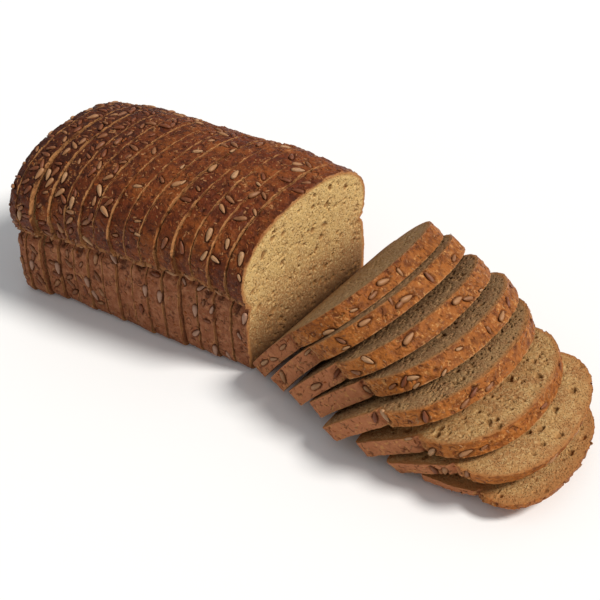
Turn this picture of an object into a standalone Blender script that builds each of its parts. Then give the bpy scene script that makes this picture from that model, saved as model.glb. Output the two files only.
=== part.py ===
"""A sliced whole wheat bread loaf with sunflower seeds on its crust.

A tin loaf of 23 slices. Fifteen slices stand as a block, with the loaf's rounded
left heel at their far end. Eight have toppled away from the block's cut face like
dominoes, each flatter than the one before it, and the other heel lies flat under
them. Every slice is one closed solid with its seeds fused to its crust.

Units are metres. X runs along the loaf, from its standing end to its toppled end,
Y across it and Z is up. The origin is the middle of the whole loaf's footprint, on
the surface it stands on.
"""
import math
import random

import bmesh
import bpy
from mathutils import Euler, Matrix, Vector

MM = 0.001

# ---- the loaf's section --------------------------------------------------------
BOTTOM_HALF_WIDTH = 57.5 * MM     # across the foot, just above its rounded corner
WALL_HALF_WIDTH = 58.5 * MM       # the lower wall bulges a little
CREASE_HALF_WIDTH = 53.5 * MM     # the waist where the dough rose over the tin
DOME_HALF_WIDTH = 60.0 * MM       # the dome hangs over the wall
FOOT_RADIUS = 5.0 * MM            # rounding of the bottom corners
DOME_OVERHANG_RISE = 14.5 * MM    # from the crease up to the dome's widest line
DOME_ROUNDNESS = 2.2              # 2 is an ellipse, more is squarer
DOME_STEPS_DEG = (18, 34, 48, 60, 71, 81)

# ---- the cut -------------------------------------------------------------------
SLICE_THICKNESS = 10.6 * MM
THICKNESS_SCATTER = 0.25 * MM
MIN_GAP = 0.4 * MM                # air left between neighbours at their closest

# ---- where the loaf lies -------------------------------------------------------
FOOTPRINT_MIDDLE = (13.45 * MM, -11.86 * MM)  # from the block's cut face

# ---- the standing block: values from the left heel (0) to the cut face (1) -----
BLOCK_SLICES = 15
BLOCK_STATIONS = (0.0, 0.25, 0.5, 0.75, 1.0)
SIDE_SHIFT = [v * MM for v in (-18.8, -11.2, -7.6, -4.2, 0.0)]
CREASE_HEIGHT = [v * MM for v in (44.5, 46.5, 50.0, 53.0, 45.5)]
LOAF_HEIGHT = [v * MM for v in (98.0, 100.0, 98.5, 99.0, 94.5)]
STEP_AFTER = 11                   # slices up to this one sit a little nearer
STEP_NEARER = 1.6 * MM
SIDE_SCATTER = 0.5 * MM
LEAN_SCATTER = math.radians(0.35)
TURN_SCATTER = math.radians(0.2)
BLOCK_SKEW = 0.8 * MM             # sideways drift of the standing slices' domes

# ---- the toppled slices --------------------------------------------------------
FALLEN_SKEW = 0.5 * MM
FALLEN_CREASE_HEIGHT = 45.0 * MM
FALLEN_HEIGHT = 94.0 * MM
# Each row: how far the upper face's foot is from the cut face along X, its shift
# across, the turn about the vertical, the lean from upright, the roll in the
# slice's own plane (degrees), the sag, which is the curvature in 1/m, the thickness,
# and the size of its upper and lower face, as the loaf narrows towards its heel.
FALLEN = (
    (1.6, -3.4, 0.2, 32.9, -1.5, 3.7, 10.6, 1.0, 1.0),
    (18.6, -7.9, 0.0, 31.9, -2.0, 4.2, 10.6, 1.0, 1.0),
    (34.8, -15.4, 0.5, 37.2, -4.9, 4.2, 10.6, 1.0, 1.0),
    (50.4, -18.3, 0.0, 42.4, -6.5, 4.2, 10.6, 1.0, 1.0),
    (66.1, -26.9, 1.5, 43.8, -3.9, 5.4, 10.6, 1.0, 0.968),
    (85.2, -28.6, 3.6, 53.7, -3.7, 6.0, 10.4, 0.945, 0.918),
    (105.5, -30.2, 5.1, 61.1, -2.3, 6.0, 9.5, 0.932, 0.859),
)
HEEL_PLACE = (126.5, -32.5, 4.2, 84.0, -0.6)  # the toppled heel: as the first five above
HEEL_SCALE = 0.777
HEEL_THICKNESS = 8.0 * MM
LEFT_HEEL_THICKNESS = 12.0 * MM
HEEL_PROFILE = ((0.0, 0.84), (0.22, 0.93), (0.5, 0.985), (1.0, 1.0))  # depth, size

# ---- sunflower seeds -----------------------------------------------------------
SEED_LENGTH = 7.6 * MM
SEED_WIDTH = 3.8 * MM
SEED_DEPTH = 2.6 * MM
SEED_SINK = 0.2 * MM              # how far a seed's middle lies under the crust
SEEDS_PER_SLICE = 9
SEEDS_ON_LEFT_HEEL = 13
SEEDS_LEFT_EXTRA = 3              # the crust is seedier towards the left end
SEED_EDGE = 0.5 * MM              # kept clear of the two cut faces
SEED_FLOOR_CLEARANCE = 9.0 * MM   # no seed lower than this on the wall
SEED_RING_WIDTHS = (0.62, 1.0, 0.78)
GOLDEN_STEP = 0.618               # spreads the seeds evenly across the crust

CRUST_COLOUR = (0.22, 0.075, 0.030, 1.0)
CRUMB_COLOUR = (0.42, 0.27, 0.13, 1.0)
BREAD_ROUGHNESS = 0.85

cut_rng = random.Random(23)       # how uneven the cut and the block are
seed_rng = random.Random(5)       # where the seeds lie


def clear_scene():
    """Remove whatever the file holds before the loaf is made."""
    for obj in list(bpy.data.objects):
        bpy.data.objects.remove(obj, do_unlink=True)


def make_collection(name):
    """Return a new collection linked to the scene."""
    collection = bpy.data.collections.new(name)
    bpy.context.scene.collection.children.link(collection)
    return collection


def bread_material(name, colour):
    """Return a dull bread material of one colour."""
    material = bpy.data.materials.new(name)
    material.use_nodes = True
    shader = material.node_tree.nodes["Principled BSDF"]
    shader.inputs["Base Color"].default_value = colour
    shader.inputs["Roughness"].default_value = BREAD_ROUGHNESS
    shader.inputs["Metallic"].default_value = 0.0
    material.diffuse_color = colour
    return material


def blend(stations, values, at):
    """Interpolate smoothly between named stations."""
    for left, right, a, b in zip(stations, stations[1:], values, values[1:]):
        if at <= right:
            t = (at - left) / (right - left)
            t = t * t * (3.0 - 2.0 * t)
            return a + (b - a) * t
    return values[-1]


def section_rows(crease, height):
    """Rows of (height, half width) from the foot to the top of the dome."""
    widest = crease + DOME_OVERHANG_RISE
    rows = [
        (0.0, BOTTOM_HALF_WIDTH - FOOT_RADIUS),
        (0.3 * FOOT_RADIUS, BOTTOM_HALF_WIDTH - 0.3 * FOOT_RADIUS),
        (FOOT_RADIUS, BOTTOM_HALF_WIDTH),
        (0.55 * crease, WALL_HALF_WIDTH),
        (0.92 * crease, WALL_HALF_WIDTH - 1.5 * MM),
        (crease, CREASE_HALF_WIDTH),
        (crease + 0.12 * DOME_OVERHANG_RISE, CREASE_HALF_WIDTH + 3.4 * MM),
        (crease + 0.45 * DOME_OVERHANG_RISE, DOME_HALF_WIDTH - 1.3 * MM),
        (widest, DOME_HALF_WIDTH),
    ]
    power = 2.0 / DOME_ROUNDNESS
    for angle in DOME_STEPS_DEG:
        turn = math.radians(angle)
        half_width = DOME_HALF_WIDTH * math.cos(turn) ** power
        rows.append((widest + (height - widest) * math.sin(turn) ** power, half_width))
    return rows


def scaled_rows(rows, scale):
    """Shrink a section towards the middle of its foot."""
    return [(z * scale, half * scale) for z, half in rows]


class Slice:
    """One slice: rings of section rows at depths from its -X face to its +X face."""

    def __init__(self, name, rings, skew=0.0, sag=0.0):
        self.name = name
        self.rings = rings
        self.skew = skew          # sideways drift of the dome
        self.sag = sag            # curvature of the slice along its height
        self.top = max(z for depth, rows in rings for z, half in rows)
        self.thickness = rings[-1][0]
        self.place = Matrix.Identity(4)

    def bend(self, x, y, z):
        """Place a point of the flat slice on the skewed and sagging one."""
        side = self.skew * math.sin(0.5 * math.pi * min(max(z / self.top, 0.0), 1.0))
        return Vector((x + 0.5 * self.sag * z * z, y + side, z))

    def rows_at(self, depth):
        """The section at a depth, between the two nearest rings."""
        for (d0, rows0), (d1, rows1) in zip(self.rings, self.rings[1:]):
            if depth <= d1:
                t = (depth - d0) / (d1 - d0)
                return [((1 - t) * z0 + t * z1, (1 - t) * h0 + t * h1)
                        for (z0, h0), (z1, h1) in zip(rows0, rows1)]
        return self.rings[-1][1]

    def set_down(self, along, side, roll, lean, turn):
        """Turn the slice, then lower it until its lowest corner touches the floor.

        along is counted from the block's cut face, side from the cut face's middle.
        """
        turned = Euler((roll, lean, turn), "XYZ").to_matrix()
        lowest = min((turned @ self.bend(depth, y, z)).z
                     for depth, rows in self.rings for z, half in rows for y in (-half, half))
        spot = (along - FOOTPRINT_MIDDLE[0], side - FOOTPRINT_MIDDLE[1], -lowest)
        self.place = Matrix.Translation(spot) @ turned.to_4x4()

    def mesh(self):
        """Loft the rings into one closed mesh with flat strips as its cut faces."""
        bm = bmesh.new()
        near, far = [], []
        for depth, rows in self.rings:
            near.append([bm.verts.new(self.bend(depth, -half, z)) for z, half in rows])
            far.append([bm.verts.new(self.bend(depth, half, z)) for z, half in rows])
        last = len(self.rings) - 1
        steps = range(len(self.rings[0][1]) - 1)
        for i in steps:
            bm.faces.new((near[0][i], near[0][i + 1], far[0][i + 1], far[0][i]))
            bm.faces.new((near[last][i], far[last][i], far[last][i + 1], near[last][i + 1]))
        for ring in range(last):
            for i in steps:
                bm.faces.new((near[ring][i], near[ring + 1][i],
                              near[ring + 1][i + 1], near[ring][i + 1]))
                bm.faces.new((far[ring][i], far[ring][i + 1],
                              far[ring + 1][i + 1], far[ring + 1][i]))
            bm.faces.new((near[ring][0], far[ring][0], far[ring + 1][0], near[ring + 1][0]))
            bm.faces.new((near[ring][-1], near[ring + 1][-1],
                          far[ring + 1][-1], far[ring][-1]))
        bmesh.ops.triangulate(bm, faces=bm.faces[:])
        bmesh.ops.recalc_face_normals(bm, faces=bm.faces[:])
        data = bpy.data.meshes.new(self.name)
        bm.to_mesh(data)
        bm.free()
        return data

    def crust_point(self, depth, along):
        """A point of the crust, its outward direction and its run along the outline.

        along goes from 0, low on the near wall, over the dome to 1, low on the far one.
        """
        rows = self.rows_at(depth)
        outline = [(-half, z) for z, half in rows] + [(half, z) for z, half in rows[::-1]]
        outline = [p for p in outline if p[1] >= SEED_FLOOR_CLEARANCE * 0.5]
        lengths = [math.dist(a, b) for a, b in zip(outline, outline[1:])]
        target = along * sum(lengths)
        for (y0, z0), (y1, z1), length in zip(outline, outline[1:], lengths):
            if target <= length:
                break
            target -= length
        t = min(target / length, 1.0)
        point = self.bend(depth, y0 + (y1 - y0) * t, z0 + (z1 - z0) * t)
        run = (self.bend(depth, y1, z1) - self.bend(depth, y0, z0)).normalized()
        outward = Vector((0.0, -run.z, run.y)).normalized()
        return point, outward, run


def seed_mesh(name, point, outward, run, turn, size):
    """A sunflower kernel of thirty triangles, pointed at one end, lying on the crust."""
    bm = bmesh.new()
    bmesh.ops.create_uvsphere(bm, u_segments=5, v_segments=4, radius=0.5)
    for vert in bm.verts:
        ring = int(round((vert.co.z + 0.354) / 0.354))
        width = SEED_RING_WIDTHS[ring] if 0 <= ring <= 2 else 1.0
        vert.co.x *= width * SEED_WIDTH * size
        vert.co.y *= width * SEED_DEPTH * size
        vert.co.z *= SEED_LENGTH * size
    bmesh.ops.triangulate(bm, faces=bm.faces[:])
    across = outward.cross(run)
    length_axis = run * math.cos(turn) + across * math.sin(turn)
    width_axis = outward.cross(length_axis)
    frame = Matrix((width_axis, outward, length_axis)).transposed().to_4x4()
    frame.translation = point - outward * SEED_SINK
    bmesh.ops.transform(bm, matrix=frame, verts=bm.verts[:])
    bmesh.ops.recalc_face_normals(bm, faces=bm.faces[:])
    data = bpy.data.meshes.new(name)
    bm.to_mesh(data)
    bm.free()
    return data


def seed_places(shape, count):
    """Even places for a slice's seeds: point, outward, run, turn and size of each."""
    offset = seed_rng.random()
    for index in range(count):
        along = (index + 0.5 + seed_rng.uniform(-0.22, 0.22)) / count
        size = seed_rng.uniform(0.88, 1.05)
        turn = seed_rng.uniform(0.0, math.pi)
        reach = 0.5 * size * math.hypot(SEED_LENGTH * math.sin(turn),
                                        SEED_WIDTH * math.cos(turn)) + SEED_EDGE
        if 2.0 * reach > shape.thickness:
            turn = 0.0
            reach = 0.5 * size * SEED_WIDTH + SEED_EDGE
        side = (offset + index * GOLDEN_STEP) % 1.0
        depth = reach + (shape.thickness - 2.0 * reach) * side
        point, outward, run = shape.crust_point(depth, along)
        if point.z >= SEED_FLOOR_CLEARANCE:
            yield point, outward, run, turn, size


def fuse_seeds(slice_object, shape, count, cutters):
    """Spread seeds over a slice's crust and fuse them to it in one union."""
    for number, place in enumerate(seed_places(shape, count), 1):
        name = f"{shape.name}_seed_{number:02d}"
        seed = bpy.data.objects.new(name, seed_mesh(name, *place))
        seed.hide_render = True
        seed.display_type = "WIRE"
        cutters.objects.link(seed)
    union = slice_object.modifiers.new("fuse_seeds", "BOOLEAN")
    union.operation = "UNION"
    union.operand_type = "COLLECTION"
    union.collection = cutters
    union.solver = "MANIFOLD"
    bpy.context.view_layer.update()
    evaluated = slice_object.evaluated_get(bpy.context.evaluated_depsgraph_get())
    fused = bpy.data.meshes.new_from_object(evaluated)
    slice_object.modifiers.clear()
    slice_object.data = fused
    for seed in list(cutters.objects):
        bpy.data.objects.remove(seed, do_unlink=True)


def make_slice(shape, seeds, material, parts, cutters):
    """Make a slice's object, with its seeds, and put it in its place."""
    obj = bpy.data.objects.new(shape.name, shape.mesh())
    parts.objects.link(obj)
    fuse_seeds(obj, shape, seeds, cutters)
    obj.data.materials.clear()
    obj.data.materials.append(material)
    obj.matrix_world = shape.place
    return obj


def heel_rings(rows, thickness, outer_first):
    """Rings of a heel, whose outer face is smaller and rounds into the crust."""
    if outer_first:
        return [(thickness * depth, scaled_rows(rows, s)) for depth, s in HEEL_PROFILE]
    return [(thickness * (1.0 - depth), scaled_rows(rows, s))
            for depth, s in HEEL_PROFILE[::-1]]


def standing_slice(index):
    """The shape of one standing slice, counted from the loaf's left heel."""
    thickness = SLICE_THICKNESS + cut_rng.uniform(-1.0, 1.0) * THICKNESS_SCATTER
    ends = []
    for at in (index / BLOCK_SLICES, (index + 1) / BLOCK_SLICES):
        crease = blend(BLOCK_STATIONS, CREASE_HEIGHT, at)
        height = blend(BLOCK_STATIONS, LOAF_HEIGHT, at)
        ends.append(section_rows(crease, height))
    rings = [(0.0, ends[0]), (thickness, ends[1])]
    if index == 0:
        rings = heel_rings(ends[1], LEFT_HEEL_THICKNESS, outer_first=True)
    skew = cut_rng.uniform(-1.0, 1.0) * BLOCK_SKEW
    return Slice(f"standing_slice_{index + 1:02d}", rings, skew)


def stand_block():
    """The block's slices side by side, the last one's cut face at X = 0."""
    shapes = [standing_slice(index) for index in range(BLOCK_SLICES)]
    leans = [cut_rng.uniform(-1.0, 1.0) * LEAN_SCATTER for shape in shapes[1:]] + [0.0]
    turns = [cut_rng.uniform(-1.0, 1.0) * TURN_SCATTER for shape in shapes[1:]] + [0.0]
    sides = [cut_rng.uniform(-1.0, 1.0) * SIDE_SCATTER for shape in shapes[1:]] + [0.0]
    left = -shapes[-1].thickness
    for index in range(BLOCK_SLICES - 1, -1, -1):
        shape = shapes[index]
        if index < BLOCK_SLICES - 1:
            lean_gap = abs(leans[index] - leans[index + 1]) * shape.top
            turn_gap = abs(turns[index] - turns[index + 1]) * DOME_HALF_WIDTH
            left -= shape.thickness + MIN_GAP + lean_gap + turn_gap
        side = blend(BLOCK_STATIONS, SIDE_SHIFT, (index + 0.5) / BLOCK_SLICES) + sides[index]
        if index < STEP_AFTER:
            side -= STEP_NEARER
        shape.set_down(left, side, 0.0, leans[index], turns[index])
    return shapes


def lay_fallen():
    """The toppled slices, leaning on one another away from the block's cut face."""
    rows = section_rows(FALLEN_CREASE_HEIGHT, FALLEN_HEIGHT)
    shapes = []
    for number, row in enumerate(FALLEN, 1):
        along, side, turn, lean, roll, sag, thickness, upper, lower = row
        rings = [(0.0, scaled_rows(rows, upper)), (thickness * MM, scaled_rows(rows, lower))]
        skew = cut_rng.uniform(-1.0, 1.0) * FALLEN_SKEW
        shape = Slice(f"fallen_slice_{number:02d}", rings, skew, sag)
        shape.set_down(along * MM, side * MM, math.radians(roll), math.radians(lean),
                       math.radians(turn))
        shapes.append(shape)
    return shapes


def lay_heel():
    """The other heel, lying on its crust with its cut face up."""
    along, side, turn, lean, roll = HEEL_PLACE
    rows = scaled_rows(section_rows(FALLEN_CREASE_HEIGHT, FALLEN_HEIGHT), HEEL_SCALE)
    shape = Slice("fallen_heel", heel_rings(rows, HEEL_THICKNESS, outer_first=False))
    shape.set_down(along * MM, side * MM, math.radians(roll), math.radians(lean),
                   math.radians(turn))
    return shape


def build():
    """Make the whole loaf."""
    clear_scene()
    parts = make_collection("sliced_wheat_loaf")
    cutters = make_collection("seeds_to_fuse")
    crust = bread_material("crust", CRUST_COLOUR)
    crumb = bread_material("crumb", CRUMB_COLOUR)
    for index, shape in enumerate(stand_block()):
        seeds = SEEDS_PER_SLICE + max(0, SEEDS_LEFT_EXTRA - index // 2)
        if index == 0:
            seeds = SEEDS_ON_LEFT_HEEL
        make_slice(shape, seeds, crust, parts, cutters)
    for shape in lay_fallen():
        make_slice(shape, SEEDS_PER_SLICE, crumb, parts, cutters)
    make_slice(lay_heel(), SEEDS_PER_SLICE, crust, parts, cutters)


build()
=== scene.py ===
import math
import random

import bpy
import numpy as np
from mathutils import Euler, Matrix, Vector
from mathutils.bvhtree import BVHTree


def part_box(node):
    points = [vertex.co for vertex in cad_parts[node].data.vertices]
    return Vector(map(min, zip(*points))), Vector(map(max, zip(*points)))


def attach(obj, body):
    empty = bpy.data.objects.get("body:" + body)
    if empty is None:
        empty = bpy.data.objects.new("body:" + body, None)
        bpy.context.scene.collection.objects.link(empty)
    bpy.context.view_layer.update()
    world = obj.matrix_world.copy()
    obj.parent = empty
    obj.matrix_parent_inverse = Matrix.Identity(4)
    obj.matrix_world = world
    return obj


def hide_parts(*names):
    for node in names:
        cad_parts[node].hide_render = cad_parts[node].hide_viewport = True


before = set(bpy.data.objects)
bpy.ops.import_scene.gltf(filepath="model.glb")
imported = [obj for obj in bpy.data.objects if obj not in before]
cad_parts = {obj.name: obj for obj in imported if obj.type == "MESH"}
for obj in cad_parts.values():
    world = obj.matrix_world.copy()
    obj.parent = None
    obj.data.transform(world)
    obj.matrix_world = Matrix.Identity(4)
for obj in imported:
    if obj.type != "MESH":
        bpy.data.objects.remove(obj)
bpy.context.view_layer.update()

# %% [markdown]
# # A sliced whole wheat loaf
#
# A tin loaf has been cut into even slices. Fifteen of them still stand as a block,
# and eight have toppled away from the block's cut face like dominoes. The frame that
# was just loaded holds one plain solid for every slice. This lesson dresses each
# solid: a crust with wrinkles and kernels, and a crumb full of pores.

MM = 0.001

# %% [markdown]
# ## Where the camera stands
#
# The picture looks down at the loaf from its front right corner through a long lens.
# The camera comes first, so that every later piece can be judged in its view. Its
# place is given as three turns and a point: a yaw about the vertical, a pitch down
# towards the table and a slight roll, as of a camera held by hand.

# %% The camera
FOOTPRINT_MIDDLE = (13.45 * MM, -11.86 * MM)     # from the block's cut face
CAMERA_FROM_CUT = (424.77 * MM, -535.40 * MM, 561.82 * MM)
CAMERA_YAW, CAMERA_PITCH, CAMERA_ROLL = (math.radians(d) for d in (-38.86, 38.58, -2.66))
LENS_MM = 87.0


def camera_axes(yaw, pitch, roll):
    """The camera's right, up and back directions."""
    ahead = Vector((math.sin(yaw) * math.cos(pitch), math.cos(yaw) * math.cos(pitch),
                    -math.sin(pitch)))
    level = Vector((math.cos(yaw), -math.sin(yaw), 0.0))
    rise = level.cross(ahead)
    right = level * math.cos(roll) + rise * math.sin(roll)
    up = rise * math.cos(roll) - level * math.sin(roll)
    return Matrix((right, up, -ahead)).transposed()


camera = bpy.data.objects.new("camera", bpy.data.cameras.new("camera"))
camera.data.lens = LENS_MM
spot = Vector(CAMERA_FROM_CUT) - Vector((*FOOTPRINT_MIDDLE, 0.0))
turned = camera_axes(CAMERA_YAW, CAMERA_PITCH, CAMERA_ROLL)
camera.matrix_world = Matrix.Translation(spot) @ turned.to_4x4()
bpy.context.scene.collection.objects.link(camera)
bpy.context.scene.camera = camera
print("camera at", [round(v, 3) for v in spot])

# %% [markdown]
# ## The light and the table
#
# A soft sun stands behind the loaf on its right, so the block's cut face and the
# toppled crusts are bright and the near walls are in shade. The sky is a plain pale
# dome that fills the shade. The table is white and marked as stage, because it is
# no part of the loaf.

# %% The light and the table
SUN_FROM = Vector((1.0, 0.42, 1.16))
SUN_STRENGTH = 3.3
SUN_SPREAD = math.radians(16.0)
SUN_COLOUR = (1.0, 0.97, 0.92)
SKY_STRENGTH = 0.42
SKY_COLOUR = (0.96, 0.98, 1.0, 1.0)
TABLE_HALF = 3.0
TABLE_WHITE = (0.90, 0.90, 0.90, 1.0)
TABLE_ROUGHNESS = 0.9

sun = bpy.data.objects.new("sun", bpy.data.lights.new("sun", "SUN"))
sun.data.energy = SUN_STRENGTH
sun.data.angle = SUN_SPREAD
sun.data.color = SUN_COLOUR
sun.rotation_mode = "QUATERNION"
sun.rotation_quaternion = SUN_FROM.to_track_quat("Z", "Y")
bpy.context.scene.collection.objects.link(sun)

sky = bpy.data.worlds.new("sky")
sky.use_nodes = True
sky_look = sky.node_tree.nodes["Background"].inputs
sky_look["Color"].default_value = SKY_COLOUR
sky_look["Strength"].default_value = SKY_STRENGTH
bpy.context.scene.world = sky
bpy.context.scene.view_settings.view_transform = "Standard"

table_mesh = bpy.data.meshes.new("table")
corners = [(-TABLE_HALF, -TABLE_HALF, 0.0), (TABLE_HALF, -TABLE_HALF, 0.0),
           (TABLE_HALF, TABLE_HALF, 0.0), (-TABLE_HALF, TABLE_HALF, 0.0)]
table_mesh.from_pydata(corners, [], [(0, 1, 2, 3)])
table = bpy.data.objects.new("table", table_mesh)
bpy.context.scene.collection.objects.link(table)
table_white = bpy.data.materials.new("table_white")
table_white.use_nodes = True
table_look = table_white.node_tree.nodes["Principled BSDF"].inputs
table_look["Base Color"].default_value = TABLE_WHITE
table_look["Roughness"].default_value = TABLE_ROUGHNESS
table_mesh.materials.append(table_white)
print("sun from", [round(v, 2) for v in SUN_FROM.normalized()])

# %% [markdown]
# ## Node maths as plain expressions
#
# Both the relief and the colours of bread are sums of noises. A small class wraps a
# socket, so that a + b on two wires adds a Math node. Every other node comes from one
# method that takes its type, its settings and the values of its sockets. The rest are
# short names for what the trees below ask for again and again.


# %% A wire that can be added and multiplied
class Wire:
    """A socket in a node tree whose sums and products add Math nodes."""

    def __init__(self, tree, socket=None):
        self.tree = tree
        self.socket = socket

    def node(self, kind, settings=None, values=None, out=0):
        """Add a node, set it, feed its sockets, and return one of its outputs."""
        made = self.tree.nodes.new(kind)
        for key, setting in (settings or {}).items():
            setattr(made, key, setting)
        for key, value in (values or {}).items():
            if isinstance(value, Wire):
                self.tree.links.new(value.socket, made.inputs[key])
            else:
                made.inputs[key].default_value = value
        return Wire(self.tree, made.outputs[out])

    def beside(self, name):
        """Another output of the node that this wire comes from."""
        return Wire(self.tree, self.socket.node.outputs[name])

    def math(self, operation, *terms):
        """A Math node on this wire and others."""
        values = dict(enumerate((self, *terms)))
        return self.node("ShaderNodeMath", {"operation": operation}, values)

    def flipped(self, operation, other):
        """A Math node with this wire as its second term."""
        return self.node("ShaderNodeMath", {"operation": operation}, {0: other, 1: self})

    def __add__(self, other):
        return self.math("ADD", other)

    __radd__ = __add__

    def __sub__(self, other):
        return self.math("SUBTRACT", other)

    def __rsub__(self, other):
        return self.flipped("SUBTRACT", other)

    def __mul__(self, other):
        return self.math("MULTIPLY", other)

    __rmul__ = __mul__

    def __truediv__(self, other):
        return self.math("DIVIDE", other)

    def __rtruediv__(self, other):
        return self.flipped("DIVIDE", other)

    def most(self, other):
        return self.math("MAXIMUM", other)

    def least(self, other):
        return self.math("MINIMUM", other)

    def ramp(self, low, high, to_low=0.0, to_high=1.0):
        """Go smoothly from to_low to to_high while this wire goes from low to high."""
        return self.node("ShaderNodeMapRange", {"interpolation_type": "SMOOTHSTEP"},
                         {0: self, 1: low, 2: high, 3: to_low, 4: to_high})

    def vector(self, operation, other, socket=1):
        """A Vector Math node on this wire and another."""
        return self.node("ShaderNodeVectorMath", {"operation": operation},
                         {0: self, socket: other})

    def part(self, axis):
        """One coordinate of this wire: 0, 1 or 2."""
        return self.node("ShaderNodeSeparateXYZ", None, {0: self}, axis)

    def mix(self, low, high):
        """A colour between two, with this wire as the share of the second."""
        return self.node("ShaderNodeMix", {"data_type": "RGBA"}, {0: self, 6: low, 7: high}, 2)

    def noise(self, size, detail=2.0, rough=0.5, out=0):
        """Noise whose lumps are about size across, on this wire as the place."""
        values = {"Vector": self, "Scale": 1.0 / size, "Detail": detail, "Roughness": rough}
        return self.node("ShaderNodeTexNoise", None, values, out)

    def drift(self, size, amount):
        """A random push whose lumps are about size across, on this wire as the place."""
        push = self.noise(size, out=1).vector("SUBTRACT", (0.5, 0.5, 0.5))
        return push.vector("SCALE", amount, "Scale")

    def cells(self, size):
        """The distance to the nearest middle of cells about size across."""
        return self.node("ShaderNodeTexVoronoi", None, {"Vector": self, "Scale": 1.0 / size})


print("node maths ready")

# %% [markdown]
# ## The section of the loaf
#
# A tin loaf has straight walls where the tin held it, a waist where the dough rose
# over the rim, and a dome that hangs over the walls. The sizes are those of the plain
# solids, and the outline is traced with many more points, evenly spaced, so that
# wrinkles and kernels have something to sit on.

# %% Sizes of the section
BOTTOM_HALF_WIDTH = 57.5 * MM
WALL_HALF_WIDTH = 58.5 * MM
CREASE_HALF_WIDTH = 53.5 * MM
DOME_HALF_WIDTH = 60.0 * MM
FOOT_RADIUS = 5.0 * MM
DOME_OVERHANG_RISE = 14.5 * MM
WALL_DRAWN_IN = 1.5 * MM        # just under the crease
LIP_OUT = 3.4 * MM              # just over the crease
SHOULDER_IN = 1.3 * MM          # under the widest part of the dome
DOME_ROUNDNESS = 2.2
PLAIN_DOME_STEPS = (18, 34, 48, 60, 71, 81)     # degrees, as on the plain solids
FINE_DOME_STEPS = tuple(range(4, 90, 4))


def section_rows(crease, height, steps=PLAIN_DOME_STEPS):
    """Rows of (height, half width) from the foot to the top of the dome."""
    widest = crease + DOME_OVERHANG_RISE
    rows = [
        (0.0, BOTTOM_HALF_WIDTH - FOOT_RADIUS),
        (0.3 * FOOT_RADIUS, BOTTOM_HALF_WIDTH - 0.3 * FOOT_RADIUS),
        (FOOT_RADIUS, BOTTOM_HALF_WIDTH),
        (0.55 * crease, WALL_HALF_WIDTH),
        (0.92 * crease, WALL_HALF_WIDTH - WALL_DRAWN_IN),
        (crease, CREASE_HALF_WIDTH),
        (crease + 0.12 * DOME_OVERHANG_RISE, CREASE_HALF_WIDTH + LIP_OUT),
        (crease + 0.45 * DOME_OVERHANG_RISE, DOME_HALF_WIDTH - SHOULDER_IN),
        (widest, DOME_HALF_WIDTH),
    ]
    power = 2.0 / DOME_ROUNDNESS
    for angle in steps:
        turn = math.radians(angle)
        half_width = DOME_HALF_WIDTH * math.cos(turn) ** power
        rows.append((widest + (height - widest) * math.sin(turn) ** power, half_width))
    return rows


AROUND = 640            # points round an outline, about 0.6 mm apart
SOFTENING = 5           # rounds of smoothing that take the corners off


def outline_of(crease, height, scale=1.0):
    """The outline as even (y, z) points, from the middle of the foot up the near wall."""
    rows = np.array(section_rows(crease, height, FINE_DOME_STEPS)) * scale
    near = np.column_stack((-rows[:, 1], rows[:, 0]))
    loop = np.vstack(([[0.0, 0.0]], near, near[::-1] * (-1.0, 1.0), [[0.0, 0.0]]))
    run = np.concatenate(([0.0], np.cumsum(np.hypot(*np.diff(loop, axis=0).T))))
    at = np.linspace(0.0, run[-1], AROUND, endpoint=False)
    loop = np.column_stack([np.interp(at, run, loop[:, axis]) for axis in (0, 1)])
    for _ in range(SOFTENING):
        loop = 0.25 * np.roll(loop, 1, 0) + 0.5 * loop + 0.25 * np.roll(loop, -1, 0)
    return loop


trial = outline_of(45.0 * MM, 94.0 * MM)
print("outline", len(trial), "points, size", np.ptp(trial, axis=0).round(4))

# %% [markdown]
# ## Where every slice lies
#
# The slices follow the same rule as the plain solids, with the same seeded draws, so
# each dressed slice lies exactly where its solid does. A standing slice is a slab
# between two cuts. A toppled one leans on its neighbour, rolls a little in its own
# plane and sags like a bent plank. The last cell checks the rule against the frame.

# %% Sizes of the cut and of the block
SLICE_THICKNESS = 10.6 * MM
THICKNESS_SCATTER = 0.25 * MM
MIN_GAP = 0.4 * MM
BLOCK_SLICES = 15
BLOCK_STATIONS = (0.0, 0.25, 0.5, 0.75, 1.0)    # from the left heel to the cut face
SIDE_SHIFT = [v * MM for v in (-18.8, -11.2, -7.6, -4.2, 0.0)]
CREASE_HEIGHT = [v * MM for v in (44.5, 46.5, 50.0, 53.0, 45.5)]
LOAF_HEIGHT = [v * MM for v in (98.0, 100.0, 98.5, 99.0, 94.5)]
STEP_AFTER = 11
STEP_NEARER = 1.6 * MM
SIDE_SCATTER = 0.5 * MM
LEAN_SCATTER = math.radians(0.35)
TURN_SCATTER = math.radians(0.2)
BLOCK_SKEW = 0.8 * MM
LEFT_HEEL_THICKNESS = 12.0 * MM
HEEL_PROFILE = ((0.0, 0.84), (0.22, 0.93), (0.5, 0.985), (1.0, 1.0))

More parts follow.
